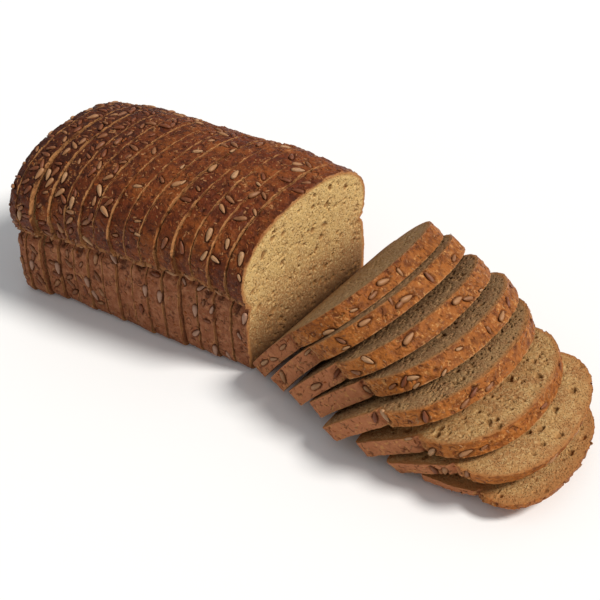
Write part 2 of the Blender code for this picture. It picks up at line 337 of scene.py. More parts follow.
# %% Sizes of the toppled slices
FALLEN_SKEW = 0.5 * MM
FALLEN_CREASE_HEIGHT = 45.0 * MM
FALLEN_HEIGHT = 94.0 * MM
FALLEN = (      # along, side, turn, lean, roll, sag, thickness, upper size, lower size
    (1.6, -3.4, 0.2, 32.9, -1.5, 3.7, 10.6, 1.0, 1.0),
    (18.6, -7.9, 0.0, 31.9, -2.0, 4.2, 10.6, 1.0, 1.0),
    (34.8, -15.4, 0.5, 37.2, -4.9, 4.2, 10.6, 1.0, 1.0),
    (50.4, -18.3, 0.0, 42.4, -6.5, 4.2, 10.6, 1.0, 1.0),
    (66.1, -26.9, 1.5, 43.8, -3.9, 5.4, 10.6, 1.0, 0.968),
    (85.2, -28.6, 3.6, 53.7, -3.7, 6.0, 10.4, 0.945, 0.918),
    (105.5, -30.2, 5.1, 61.1, -2.3, 6.0, 9.5, 0.932, 0.859),
)
HEEL_PLACE = (126.5, -32.5, 4.2, 84.0, -0.6)    # along, side, turn, lean, roll
HEEL_SCALE = 0.777
HEEL_THICKNESS = 8.0 * MM

cut_rng = random.Random(23)


def blend(stations, values, at):
    """Interpolate smoothly between named stations."""
    for left, right, a, b in zip(stations, stations[1:], values, values[1:]):
        if at <= right:
            t = (at - left) / (right - left)
            t = t * t * (3.0 - 2.0 * t)
            return a + (b - a) * t
    return values[-1]


# %% One slice, its bend and its place
class Slice:
    """A slice between two cuts. Each end is a crease height, a loaf height and a scale."""

    def __init__(self, name, rings, skew=0.0, sag=0.0):
        self.name = name
        self.rings = rings          # depth, crease, height, scale
        self.skew = skew
        self.sag = sag
        self.thickness = rings[-1][0]
        self.crease = max(c * s for d, c, h, s in rings)
        self.top = max(self.plain_rows(ring)[-1][0] for ring in rings)
        self.loaf_x = 0.0           # where the slice was in the whole loaf
        self.place = Matrix.Identity(4)

    @staticmethod
    def plain_rows(ring):
        """The rows of one ring of the plain solid."""
        depth, crease, height, scale = ring
        return [(z * scale, half * scale) for z, half in section_rows(crease, height)]

    def ring_at(self, depth):
        """Crease, height and scale at a depth between two rings."""
        depths = [ring[0] for ring in self.rings]
        return [np.interp(depth, depths, [ring[i] for ring in self.rings]) for i in (1, 2, 3)]

    def bend(self, points):
        """Skew and sag flat points (x, y, z) of the slice."""
        x, y, z = np.asarray(points, float).T
        lift = np.clip(z / self.top, 0.0, 1.0)
        y = y + self.skew * np.sin(0.5 * math.pi * lift)
        return np.column_stack((x + 0.5 * self.sag * z * z, y, z))

    def put(self, points):
        """Flat points of the slice in the frame."""
        turn = np.array(self.place)
        return self.bend(points) @ turn[:3, :3].T + turn[:3, 3]

    def lay_flat(self, points):
        """Points of the frame as flat points of the slice."""
        turn = np.array(self.place)
        x, y, z = ((np.asarray(points, float) - turn[:3, 3]) @ turn[:3, :3]).T
        lift = np.clip(z / self.top, 0.0, 1.0)
        y = y - self.skew * np.sin(0.5 * math.pi * lift)
        return np.column_stack((x - 0.5 * self.sag * z * z, y, z))

    def plain_points(self):
        """Corners of the plain solid, laid flat."""
        return [(ring[0], side * half, z) for ring in self.rings
                for z, half in self.plain_rows(ring) for side in (-1.0, 1.0)]

    def set_down(self, along, side, roll, lean, turn):
        """Turn the slice, then lower it until its lowest corner touches the table."""
        turned = Euler((roll, lean, turn), "XYZ").to_matrix()
        lowest = (self.bend(self.plain_points()) @ np.array(turned).T)[:, 2].min()
        spot = (along - FOOTPRINT_MIDDLE[0], side - FOOTPRINT_MIDDLE[1], -lowest)
        self.place = Matrix.Translation(spot) @ turned.to_4x4()


def heel_rings(crease, height, scale, thickness, outer_first):
    """Rings of a heel, whose outer face is smaller and rounds into the crust."""
    rings = [(thickness * depth, crease, height, scale * s) for depth, s in HEEL_PROFILE]
    if outer_first:
        return rings
    return [(thickness - d, c, h, s) for d, c, h, s in rings[::-1]]


# %% The standing block
def standing_slice(index):
    """The shape of one standing slice, counted from the loaf's left heel."""
    thickness = SLICE_THICKNESS + cut_rng.uniform(-1.0, 1.0) * THICKNESS_SCATTER
    rings = []
    for depth, at in ((0.0, index / BLOCK_SLICES), (thickness, (index + 1) / BLOCK_SLICES)):
        crease = blend(BLOCK_STATIONS, CREASE_HEIGHT, at)
        rings.append((depth, crease, blend(BLOCK_STATIONS, LOAF_HEIGHT, at), 1.0))
    if index == 0:
        depth, crease, height, scale = rings[-1]
        rings = heel_rings(crease, height, scale, LEFT_HEEL_THICKNESS, outer_first=True)
    skew = cut_rng.uniform(-1.0, 1.0) * BLOCK_SKEW
    return Slice(f"standing_slice_{index + 1:02d}", rings, skew)


def stand_block():
    """The block's slices side by side, the last one's cut face facing the toppled ones."""
    shapes = [standing_slice(index) for index in range(BLOCK_SLICES)]
    leans = [cut_rng.uniform(-1.0, 1.0) * LEAN_SCATTER for shape in shapes[1:]] + [0.0]
    turns = [cut_rng.uniform(-1.0, 1.0) * TURN_SCATTER for shape in shapes[1:]] + [0.0]
    sides = [cut_rng.uniform(-1.0, 1.0) * SIDE_SCATTER for shape in shapes[1:]] + [0.0]
    left = -shapes[-1].thickness
    for index in range(BLOCK_SLICES - 1, -1, -1):
        shape = shapes[index]
        if index < BLOCK_SLICES - 1:
            lean_gap = abs(leans[index] - leans[index + 1]) * shape.top
            turn_gap = abs(turns[index] - turns[index + 1]) * DOME_HALF_WIDTH
            left -= shape.thickness + MIN_GAP + lean_gap + turn_gap
        side = blend(BLOCK_STATIONS, SIDE_SHIFT, (index + 0.5) / BLOCK_SLICES) + sides[index]
        if index < STEP_AFTER:
            side -= STEP_NEARER
        shape.loaf_x = left
        shape.set_down(left, side, 0.0, leans[index], turns[index])
    return shapes


# %% The toppled slices and the flat heel
def lay_fallen():
    """The toppled slices, leaning on one another away from the block's cut face."""
    shapes = []
    for number, row in enumerate(FALLEN, 1):
        along, side, turn, lean, roll, sag, thickness, upper, lower = row
        rings = [(depth, FALLEN_CREASE_HEIGHT, FALLEN_HEIGHT, size)
                 for depth, size in ((0.0, upper), (thickness * MM, lower))]
        skew = cut_rng.uniform(-1.0, 1.0) * FALLEN_SKEW
        shape = Slice(f"fallen_slice_{number:02d}", rings, skew, sag)
        shape.loaf_x = number * SLICE_THICKNESS
        shape.set_down(along * MM, side * MM, math.radians(roll), math.radians(lean),
                       math.radians(turn))
        shapes.append(shape)
    return shapes


def lay_heel():
    """The other heel, lying on its crust with its cut face up."""
    along, side, turn, lean, roll = HEEL_PLACE
    rings = heel_rings(FALLEN_CREASE_HEIGHT, FALLEN_HEIGHT, HEEL_SCALE, HEEL_THICKNESS,
                       outer_first=False)
    shape = Slice("fallen_heel", rings)
    shape.loaf_x = (len(FALLEN) + 1) * SLICE_THICKNESS
    shape.set_down(along * MM, side * MM, math.radians(roll), math.radians(lean),
                   math.radians(turn))
    return shape


shapes = stand_block() + lay_fallen() + [lay_heel()]
worst = 0.0
for shape in shapes:
    low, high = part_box(shape.name)
    points = shape.put(shape.plain_points())
    lowest_x = points[:, 0].min()
    worst = max(worst, abs(points[:, 2].min() - low.z), max(0.0, low.x - lowest_x))
print(len(shapes), "slices, farthest from their solids by", round(worst / MM, 4), "mm")

# %% [markdown]
# ## The blank of a slice
#
# A real slice is a slab with a curved rim. The rim is made of layers of the outline,
# and the two cut faces close it. A face that shows gets an even grid whose rings
# follow the outline, so that the browning near the crust has rings to follow. A face
# that lies hidden against its neighbour gets a few rings only. Every point remembers
# where in the loaf it was baked, how deep it lies under the crust, which way the crust
# faces there, how far off the two cuts are, and how high it is above the waist. Relief
# and colours read those attributes later.

# %% The grid of a cut face
CRUST_TURN = 4.0 * MM           # over which a heel's rim turns into its end
LAYERS = 18                     # rows of points from cut to cut, about 0.6 mm apart
ACROSS = AROUND // 4            # cells along one side of a face's square grid
HIDDEN_RINGS = (0.985, 0.95, 0.86, 0.66, 0.36)      # shares of the way to the outline
HALF_SHOWN_RINGS = tuple(1.0 - 0.012 * k for k in range(1, 16)) + (0.76, 0.66, 0.5, 0.3)
ON_RIM = 1.0 - 1e-9             # a reach this large is on the rim of the grid


def square_grid():
    """Inner points of a square grid, as a position round the outline and a reach."""
    cell = np.arange(ACROSS + 1)
    u, v = np.meshgrid(2.0 * cell / ACROSS - 1.0, 2.0 * cell / ACROSS - 1.0, indexing="ij")
    reach = np.maximum(abs(u), abs(v))
    reach_safe = np.where(reach == 0.0, 1.0, reach)
    u, v = u / reach_safe, v / reach_safe
    side = AROUND / 8.0
    around = np.select(
        [(v <= -ON_RIM) & (u <= 0.0), u <= -ON_RIM, v >= ON_RIM, u >= ON_RIM],
        [-u * side, (2.0 + v) * side, (4.0 + u) * side, (6.0 - v) * side],
        (8.0 - u) * side)
    return around % AROUND, reach


GRID_AROUND, GRID_REACH = square_grid()


def grid_face(first):
    """Indices of the square grid, whose rim is the ring of points that starts at first."""
    rim = GRID_REACH >= ON_RIM
    index = np.zeros(GRID_REACH.shape, int)
    index[rim] = np.rint(GRID_AROUND[rim]).astype(int) % AROUND + first
    index[~rim] = np.arange(np.count_nonzero(~rim))
    inner = (GRID_AROUND[~rim], GRID_REACH[~rim])
    return index, rim, inner


# %% The blank as one closed mesh
DEPTH_BATCH = 4000              # points measured at a time, to save memory
RING_DEPTH = 0.8                # depth gained for each step towards the middle
DEEP = 1.0                      # any depth far past the crust


def outward_of(loop):
    """The outward direction at each point of an outline."""
    run = np.roll(loop, -1, 0) - np.roll(loop, 1, 0)
    out = np.column_stack((-run[:, 1], run[:, 0]))
    return out / np.linalg.norm(out, axis=1)[:, None]


def depth_under(points, loop):
    """How far each (y, z) point lies from an outline."""
    near = np.empty(len(points))
    for start in range(0, len(points), DEPTH_BATCH):
        part = points[start:start + DEPTH_BATCH]
        near[start:start + DEPTH_BATCH] = np.sqrt(
            ((part[:, None, :] - loop[None, :, :]) ** 2).sum(2)).min(1)
    return near


class Blank:
    """The flat mesh of one slice, with what each point remembers."""

    def __init__(self, shape, left, right, crusted=0):
        self.shape = shape
        self.crusted = crusted      # the end that is the loaf's own crust, -1 or 1
        self.points, self.outs, self.depths, self.cuts = [], [], [], []
        self.faces = []
        self.loops = {}
        self.count = 0
        self.rim_rings()
        self.close(left, 0.0, -1.0)
        self.close(right, shape.thickness, 1.0)

    def add(self, x, loop, out, depth, cut):
        """Add points at a depth x and return the index of the first."""
        first = self.count
        self.points.append(np.column_stack((np.full(len(loop), x), loop)))
        self.outs.append(np.column_stack((np.zeros(len(out)), out)))
        self.depths.append(np.broadcast_to(depth, len(loop)))
        self.cuts.append(np.full(len(loop), cut))
        self.count += len(loop)
        return first

    def rim_rings(self):
        """The rim: one ring of points for each layer."""
        thickness = self.shape.thickness
        around = np.arange(AROUND)
        after = (around + 1) % AROUND
        for layer in range(LAYERS + 1):
            x = thickness * layer / LAYERS
            loop = outline_of(*self.shape.ring_at(x))
            first = self.add(x, loop, outward_of(loop), 0.0, 0.0)
            self.loops[x] = (loop, first)
            if layer:
                quads = (around + last, around + first, after + first, after + last)
                self.faces += np.column_stack(quads).tolist()
            last = first

    def close(self, style, x, cut):
        """Close one end with a grid or with rings, facing along cut."""
        loop, rim_first = self.loops[x]
        out = outward_of(loop)
        start = len(self.points)
        middle = np.array((0.0, 0.5 * self.shape.top))
        if style == "grid":
            index, rim, (around, reach) = grid_face(rim_first)
            low = np.floor(around).astype(int)
            share = (around - low)[:, None]
            edge = loop[low] * (1.0 - share) + loop[(low + 1) % AROUND] * share
            points = middle + (edge - middle) * reach[:, None]
            first = self.add(x, points, out[low], depth_under(points, loop), cut)
            index[~rim] += first
            quads = np.stack((index[:-1, :-1], index[1:, :-1], index[1:, 1:],
                              index[:-1, 1:]), -1).reshape(-1, 4)
        else:
            around = np.arange(AROUND)
            after = (around + 1) % AROUND
            last, quads = rim_first, []
            for reach in style:
                points = middle + (loop - middle) * reach
                depth = (1.0 - reach) * RING_DEPTH * np.linalg.norm(loop - middle, axis=1)
                first = self.add(x, points, out, depth, cut)
                quads.append(np.column_stack((around + last, around + first,
                                              after + first, after + last)))
                last = first
            centre = self.add(x, middle[None, :], out[:1], DEEP, cut)
            fan = np.column_stack((around + last, np.full(AROUND, centre), after + last))
            quads = np.vstack(quads)
            self.faces += (fan if cut > 0 else fan[:, ::-1]).tolist()
        self.faces += (quads if cut > 0 else quads[:, ::-1]).tolist()
        if cut == self.crusted:
            self.crust_over(start, cut)

    def crust_over(self, start, cut):
        """Turn the face that was just added into crust that faces along cut."""
        for part in range(start, len(self.points)):
            inward = np.clip(self.depths[part] / CRUST_TURN, 0.0, 1.0)[:, None]
            flat = np.array((cut, 0.0, 0.0))
            self.outs[part] = self.outs[part] * (1.0 - inward) + flat * inward
            self.cuts[part] = self.cuts[part] * 0.0
            self.depths[part] = self.depths[part] * 0.0

    def mesh(self):
        """The blank as a mesh whose points carry attributes."""
        shape = self.shape
        points = np.vstack(self.points)
        mesh = bpy.data.meshes.new(shape.name)
        mesh.from_pydata(points, [], self.faces)
        baked = points + (shape.loaf_x, 0.0, 0.0)
        out = np.vstack(self.outs)
        from_left = points[:, 0] + (CRUST_TURN if self.crusted < 0 else 0.0)
        from_right = shape.thickness - points[:, 0] + (CRUST_TURN if self.crusted > 0 else 0.0)
        for name, kind, field, values in (
                ("baked_at", "FLOAT_VECTOR", "vector", baked),
                ("crust_faces", "FLOAT_VECTOR", "vector", out),
                ("crust_depth", "FLOAT", "value", np.concatenate(self.depths)),
                ("cut_side", "FLOAT", "value", np.concatenate(self.cuts)),
                ("from_left", "FLOAT", "value", from_left),
                ("from_right", "FLOAT", "value", from_right),
                ("above_waist", "FLOAT", "value", points[:, 2] - shape.crease)):
            layer = mesh.attributes.new(name, kind, "POINT")
            layer.data.foreach_set(field, np.ascontiguousarray(values, np.float32).ravel())
        return mesh


test = Blank(shapes[-2], "grid", "grid")
test_mesh = test.mesh()
print("a fully shown blank has", len(test_mesh.polygons), "faces")
bpy.data.meshes.remove(test_mesh)

# %% [markdown]
# ## Kernels on the crust
#
# Sunflower kernels were rolled into the dough before it was baked. They lie every
# way, a little sunk, and the crust dips round each one. Most of their places follow the
# rule of the plain solids, with more between them, because the real crust is seedier
# than the solids, and all keep clear of kernels that already have a place. The places
# come before the crust, so that it can dip.

# %% Places of the kernels
SEED_LENGTH = 7.6 * MM
SEED_WIDTH = 3.8 * MM
SEED_DEPTH = 2.6 * MM
SEEDS_PER_SLICE = 9
SEEDS_ON_LEFT_HEEL = 13
SEEDS_LEFT_EXTRA = 3
SEED_EDGE = 0.5 * MM
SEED_FLOOR_CLEARANCE = 9.0 * MM
GOLDEN_STEP = 0.618
MORE_SEEDS = 12                 # tries for one more kernel between the others
MORE_AT_LEFT_END = 80           # the loaf is seediest at its left end
LEFT_END_SLICES = 6
SEED_SPACING = 4.8 * MM
SEED_JITTER = 0.22              # of the way to the next kernel round the crust
SEED_SIZES = (0.88, 1.05)
MORE_SIZES = (0.6, 0.95)
MORE_ACROSS = (0.25, 0.75)      # share of the slice's thickness
MORE_OVERHANG = 1.0 * MM        # past the cut, before a kernel is turned round the crust
MORE_TURNED = (0.3, 1.5)        # how much of its turn it keeps, and from what turn
KERNEL_SINK = (0.1 * MM, 0.65 * MM)
KERNEL_SLIMNESS = 0.80          # a real kernel's width against the plain seed's
SLOPE_STEP = 1.0 * MM           # each way, to feel how the crust slopes
NEST_EDGE = 1.5                 # where the dip ends, in half kernels from its middle
NEST_SLOPE = 0.45               # how wide the dip's edge is, in the same measure
seed_rng = random.Random(5)
more_rng = random.Random(41)


def crust_spot(shape, depth, along):
    """The flat (y, z) point of the plain crust that lies along its outline."""
    depths = [ring[0] for ring in shape.rings]
    rows = np.array([shape.plain_rows(ring) for ring in shape.rings])
    rows = [[np.interp(depth, depths, rows[:, k, axis]) for axis in (0, 1)]
            for k in range(rows.shape[1])]
    outline = [(-half, z) for z, half in rows] + [(half, z) for z, half in rows[::-1]]
    outline = [p for p in outline if p[1] >= 0.5 * SEED_FLOOR_CLEARANCE]
    lengths = [math.dist(a, b) for a, b in zip(outline, outline[1:])]
    target = along * sum(lengths)
    for (y0, z0), (y1, z1), length in zip(outline, outline[1:], lengths):
        if target <= length:
            break
        target -= length
    t = min(target / length, 1.0)
    return y0 + (y1 - y0) * t, z0 + (z1 - z0) * t


def seed_reach(turn, size):
    """Half of what a turned kernel needs across the slice."""
    return 0.5 * size * math.hypot(SEED_LENGTH * math.sin(turn),
                                   SEED_WIDTH * math.cos(turn)) + SEED_EDGE


def has_room(spot, found):
    """Whether a spot is off the table and clear of the kernels found so far."""
    apart = [math.dist(spot, other[:3]) for other in found]
    return spot[2] >= SEED_FLOOR_CLEARANCE and min(apart, default=1.0) > SEED_SPACING


def seed_places(shape, count, more, taken):
    """Places of a slice's other kernels: depth, y, z, turn and size."""
    found = [place[:5] for place in taken]
    offset = seed_rng.random()
    for index in range(count):
        along = (index + 0.5 + seed_rng.uniform(-SEED_JITTER, SEED_JITTER)) / count
        size = seed_rng.uniform(*SEED_SIZES)
        turn = seed_rng.uniform(0.0, math.pi)
        if 2.0 * seed_reach(turn, size) > shape.thickness:
            turn = 0.0
        reach = seed_reach(turn, size)
        side = (offset + index * GOLDEN_STEP) % 1.0
        depth = reach + (shape.thickness - 2.0 * reach) * side
        spot = (depth, *crust_spot(shape, depth, along))
        if has_room(spot, found):
            found.append((*spot, turn, size))
    for _ in range(more):
        along, size = more_rng.random(), more_rng.uniform(*MORE_SIZES)
        turn = more_rng.uniform(0.0, math.pi)
        depth = shape.thickness * more_rng.uniform(*MORE_ACROSS)
        if seed_reach(turn, size) > min(depth, shape.thickness - depth) + MORE_OVERHANG:
            turn = MORE_TURNED[0] * (turn - MORE_TURNED[1])
        spot = (depth, *crust_spot(shape, depth, along))
        if has_room(spot, found):
            found.append((*spot, turn, size))
    return found[len(taken):]


# %% A kernel's frame on the dressed crust
class Kernel:
    """A kernel's flat spot on a slice, and its spot and axes in the frame."""

    def __init__(self, shape, depth, y, z, turn, size, toast=None):
        self.toast = toast          # 0 is raw and 1 is glazed; None until it is drawn
        loop = outline_of(*shape.ring_at(depth))
        index = int(((loop - (y, z)) ** 2).sum(1).argmin())
        out = outward_of(loop)[index]
        self.flat = np.array((depth, *loop[index]))
        self.run = np.array((0.0, out[1], -out[0]))
        before = max(depth - SLOPE_STEP, 0.0)
        after = min(depth + SLOPE_STEP, shape.thickness)
        slope = [outline_of(*shape.ring_at(x))[index] for x in (before, after)]
        across = np.array((after - before, *(slope[1] - slope[0])))
        across = across / np.linalg.norm(across)
        self.out = np.cross(self.run, across)
        self.out *= np.sign(self.out[1:] @ out) / np.linalg.norm(self.out)
        across = np.cross(self.out, self.run)
        self.length_axis = self.run * math.cos(turn) + across * math.sin(turn)
        self.width_axis = np.cross(self.out, self.length_axis)
        self.size = size
        self.on_dome = z > shape.crease
        step = 0.1 * MM
        spots = shape.put([self.flat, self.flat + step * self.out,
                           self.flat + step * self.length_axis])
        up = Vector(spots[1] - spots[0]).normalized()
        length = Vector(spots[2] - spots[0]).normalized()
        width = up.cross(length).normalized()
        self.spot = Vector(spots[0]) - up * more_rng.uniform(*KERNEL_SINK)
        self.euler = Matrix((width, up, length)).transposed().to_euler("XYZ")

    def nest(self, points):
        """How much the crust at flat points belongs to this kernel's nest, 0 to 1."""
        off = points - self.flat
        along = off @ self.length_axis / (0.5 * SEED_LENGTH * self.size)
        across = off @ self.width_axis / (0.5 * KERNEL_SLIMNESS * SEED_WIDTH * self.size)
        away = off @ self.out / SEED_LENGTH
        reach = np.sqrt(along ** 2 + across ** 2 + away ** 2)
        inside = np.clip((NEST_EDGE - reach) / NEST_SLOPE, 0.0, 1.0)
        return inside * inside * (3.0 - 2.0 * inside)


# %% [markdown]
# ## Kernels that stand out in the picture
#
# Kernels lie where the dough took them, so no rule gives the places of those that
# catch the eye. They are set one by one. Each is read off as its two ends, across and
# down the picture in pixels. The line of sight through it meets a slice, and there the
# kernel is laid on the crust, so it sits right from every side. The other kernels keep
# clear of these.

# %% The two ends of each, by how toasted it is
PICTURE_WIDTH = 600
TOAST = {"pale": -0.2, "tan": 0.15, "brown": 0.5}
SEEN = {
    "pale": (
        (50, 169, 46, 180), (66, 172, 61, 183), (73, 196, 70, 209), (19, 211, 19, 221),
        (99, 184, 100, 196), (192, 152, 203, 151), (135, 234, 141, 236), (211, 228, 206, 242),
        (82, 236, 93, 246), (228, 238, 226, 249), (242, 251, 239, 266), (211, 256, 219, 263),
        (291, 169, 305, 170), (231, 179, 239, 169), (230, 153, 235, 150), (180, 184, 186, 180),
        (181, 168, 184, 165), (257, 183, 260, 186), (238, 275, 240, 282), (183, 279, 185, 284),
        (280, 146, 291, 147), (133, 186, 142, 186), (201, 260, 207, 251), (31, 261, 32, 271),
        (56, 262, 59, 275), (44, 248, 45, 256), (111, 252, 116, 264), (86, 278, 89, 288),
        (91, 290, 97, 300), (146, 286, 149, 295), (159, 291, 159, 303), (198, 304, 198, 317),
        (194, 336, 200, 332), (245, 313, 243, 325), (210, 314, 215, 306), (197, 290, 205, 286),
        (261, 365, 267, 361), (305, 355, 311, 349), (323, 335, 335, 331), (350, 312, 358, 309),
        (344, 349, 349, 347), (361, 357, 374, 364), (406, 379, 420, 377), (457, 350, 462, 348),
        (415, 388, 419, 384), (443, 375, 445, 371), (364, 386, 372, 393), (378, 408, 389, 422),
        (402, 425, 417, 432), (406, 439, 413, 435), (428, 456, 436, 447), (438, 489, 456, 492),
        (421, 264, 425, 262), (480, 291, 484, 289)),
    "tan": (
        (45, 169, 35, 179), (53, 178, 45, 187), (64, 189, 55, 196), (101, 206, 108, 217),
        (170, 186, 186, 181), (195, 122, 204, 124), (134, 221, 141, 221), (208, 141, 215, 140),
        (209, 171, 217, 164), (216, 132, 226, 135), (257, 138, 263, 138), (293, 141, 300, 143),
        (292, 163, 303, 164), (254, 209, 256, 216), (220, 204, 224, 213), (237, 333, 241, 340),
        (216, 342, 222, 356), (226, 352, 231, 360), (280, 350, 285, 345), (281, 371, 285, 383),
        (265, 382, 276, 389), (311, 389, 321, 384), (377, 285, 390, 279), (397, 269, 404, 276),
        (401, 302, 413, 295), (359, 326, 371, 319), (404, 345, 414, 332), (452, 305, 463, 296),
        (501, 321, 504, 311), (460, 456, 473, 451), (445, 466, 447, 479), (270, 360, 277, 359)),
    "brown": (
        (226, 196, 234, 203), (263, 192, 266, 199), (247, 196, 259, 191), (370, 299, 378, 291),
        (389, 298, 393, 305), (486, 327, 493, 334), (487, 391, 494, 382), (462, 408, 470, 399),
        (482, 450, 488, 446), (220, 144, 228, 147), (232, 142, 238, 147)),
}

# %% Following a line of sight to the crust
SIGHT_RINGS = 7
SIGHT_STEP = 4                  # keeps every fourth point of the outline
SIGHT_TRIES = (1.2, 0.5, 0.2)   # pixels from the kernel's middle
KERNEL_MISSES = 3.5 * MM        # a meeting this far from the crust is dropped
KERNEL_OVERHANG = 1.5 * MM      # past the cut of its slice
SEEN_SIZES = (0.6, 1.1)         # against the plain seed
SIGHT_SLACK = 2.0 * MM          # a point this little behind the crust still shows


class Sight:
    """Lines of sight from the camera, and the slices they meet."""

    def __init__(self):
        points, faces, self.owner = [], [], []
        for shape in shapes:
            first = len(points)
            depths = np.linspace(0.0, shape.thickness, SIGHT_RINGS)
            rings = [outline_of(*shape.ring_at(x))[::SIGHT_STEP] for x in depths]
            count = len(rings[0])
            flat = [np.column_stack((np.full(count, x), ring))
                    for x, ring in zip(depths, rings)]
            middles = [(x, 0.0, 0.5 * shape.top) for x in (0.0, shape.thickness)]
            points += shape.put(np.vstack((*flat, middles))).tolist()
            left_middle = first + SIGHT_RINGS * count
            last = (SIGHT_RINGS - 1) * count
            for k in range(count):
                here, after = first + k, first + (k + 1) % count
                faces += [(here + row, here + row + count, after + row + count, after + row)
                          for row in range(0, last, count)]
                faces += [(here, after, left_middle),
                          (here + last, after + last, left_middle + 1)]
            self.owner += [shape] * (len(faces) - len(self.owner))
        self.tree = BVHTree.FromPolygons(points, faces)
        self.eye = camera.matrix_world.translation

    def meets(self, pixel):
        """The slice that shows at a pixel, and its flat point there."""
        reach = camera.data.sensor_width / LENS_MM
        way = Vector(((pixel[0] / PICTURE_WIDTH - 0.5) * reach,
                      (0.5 - pixel[1] / PICTURE_WIDTH) * reach, -1.0))
        hit, _, face, _ = self.tree.ray_cast(self.eye, camera.matrix_world.to_3x3() @ way)
        if face is None:
            return None, None
        return self.owner[face], self.owner[face].lay_flat([hit])[0]

    def shows(self, point):
        """Whether the camera sees a point of the crust."""
        way = point - self.eye
        hit = self.tree.ray_cast(self.eye, way)[3]
        return hit is not None and hit > way.length - SIGHT_SLACK


def seen_place(sight, x0, y0, x1, y1):
    """The slice and the place of a kernel whose ends are seen at two pixels."""
    middle, half = Vector(((x0 + x1) / 2, (y0 + y1) / 2)), Vector((x1 - x0, y1 - y0)) / 2
    for reach in SIGHT_TRIES:
        step = half.normalized() * reach
        (shape, tail), (other, head) = sight.meets(middle - step), sight.meets(middle + step)
        if shape is not None and shape is other:
            break
    else:
        return None
    off, at = head - tail, 0.5 * (head + tail)
    loop = outline_of(*shape.ring_at(at[0]))
    index = int(((loop - at[1:]) ** 2).sum(1).argmin())
    if math.dist(loop[index], at[1:]) > KERNEL_MISSES:
        return None
    out = outward_of(loop)[index]
    turn = math.atan2(-off[0], off[1] * out[1] - off[2] * out[0])
    length = np.linalg.norm(off) * half.length / reach
    size = min(max(length / SEED_LENGTH, SEEN_SIZES[0]), SEEN_SIZES[1])
    edge = seed_reach(turn, size) - KERNEL_OVERHANG
    depth = min(max(at[0], edge), shape.thickness - edge)
    return shape, (depth, at[1], at[2], turn, size)


sight = Sight()
kernels = {shape.name: [] for shape in shapes}
missed = []
for tone, ends in SEEN.items():
    for four in ends:
        found = seen_place(sight, *four)
        if found is None:
            missed.append(four)
        else:
            kernels[found[0].name].append((*found[1], TOAST[tone]))
print("seen kernels:", sum(map(len, kernels.values())), "missed", missed)

# %% The other kernels
DOME_TOAST = (0.0, 0.9)         # of kernels that face away from the camera
SIDE_TOAST = (0.1, 0.7)
GLAZED = (0.45, 0.95)           # toast of a kernel that hides in the brown of the crust
LEFT_GLAZED = (0.38, 0.92)
KEPT_AT_LEFT_END = 0.95         # of those that show, the share that stays
KEPT_ELSEWHERE = 0.3
WALL_KERNEL_SHADE = -0.8               # painted shade: a dull dark grey for kernels on the shaded walls
toast_rng = random.Random(77)


def slice_kernels(index, shape, seen):
    """The kernels of one slice: those seen in the picture, then the others."""
    at_left_end = index < LEFT_END_SLICES
    count = SEEDS_PER_SLICE
    if index == 0:
        count = SEEDS_ON_LEFT_HEEL
    elif index < BLOCK_SLICES:
        count += max(0, SEEDS_LEFT_EXTRA - index // 2)
    more = MORE_AT_LEFT_END if at_left_end else MORE_SEEDS
    on_slice = [Kernel(shape, *place) for place in seen]
    for kernel in on_slice:
        # Seen kernels on the block's walls get painted shade, a dull dark grey.
        if index < BLOCK_SLICES and not kernel.on_dome:
            kernel.toast = WALL_KERNEL_SHADE
    for place in seed_places(shape, count, more, seen):
        kernel = Kernel(shape, *place)
        kernel.toast = toast_rng.uniform(*(DOME_TOAST if kernel.on_dome else SIDE_TOAST))
        if sight.shows(kernel.spot):
            kernel.toast = toast_rng.uniform(*(LEFT_GLAZED if at_left_end else GLAZED))
            if toast_rng.random() > (KEPT_AT_LEFT_END if at_left_end else KEPT_ELSEWHERE):
                continue
        on_slice.append(kernel)
    return on_slice


for index, shape in enumerate(shapes):
    kernels[shape.name] = slice_kernels(index, shape, kernels[shape.name])
print("kernels:", sum(len(on_slice) for on_slice in kernels.values()))

# %% [markdown]
# ## Relief by Geometry Nodes
#
# Crumb is a foam: round pores of every size, crowded and overlapping, with a few big
# holes where gas gathered. The crust is a skin with wrinkles, blisters and a torn
# waist. Both repeat by a rule over the whole slice, so one node tree carves them into
# every blank. Cells of a Voronoi pattern hold the pores: a point closer to a cell's
# middle than that cell's own radius sinks in. The tree has named inputs for its sizes.


# %% A node tree with named inputs
def new_tree(name, inputs):
    """A geometry tree: its input wires by name, and its output node."""
    tree = bpy.data.node_groups.new(name, "GeometryNodeTree")
    for side in ("INPUT", "OUTPUT"):
        tree.interface.new_socket("Geometry", in_out=side, socket_type="NodeSocketGeometry")
    for label, (kind, value) in inputs.items():
        socket = tree.interface.new_socket(label, in_out="INPUT", socket_type=kind)
        if value is not None:
            socket.default_value = value
    start = tree.nodes.new("NodeGroupInput")
    end = tree.nodes.new("NodeGroupOutput")
    wires = {socket.name: Wire(tree, socket) for socket in start.outputs if socket.name}
    return tree, wires, end


def finish_tree(tree, shape, material, end):
    """End a tree in Realize Instances and Set Material."""
    real = shape.node("GeometryNodeRealizeInstances", None, {0: shape})
    done = real.node("GeometryNodeSetMaterial", None, {0: real, "Material": material})
    tree.links.new(done.socket, end.inputs[0])


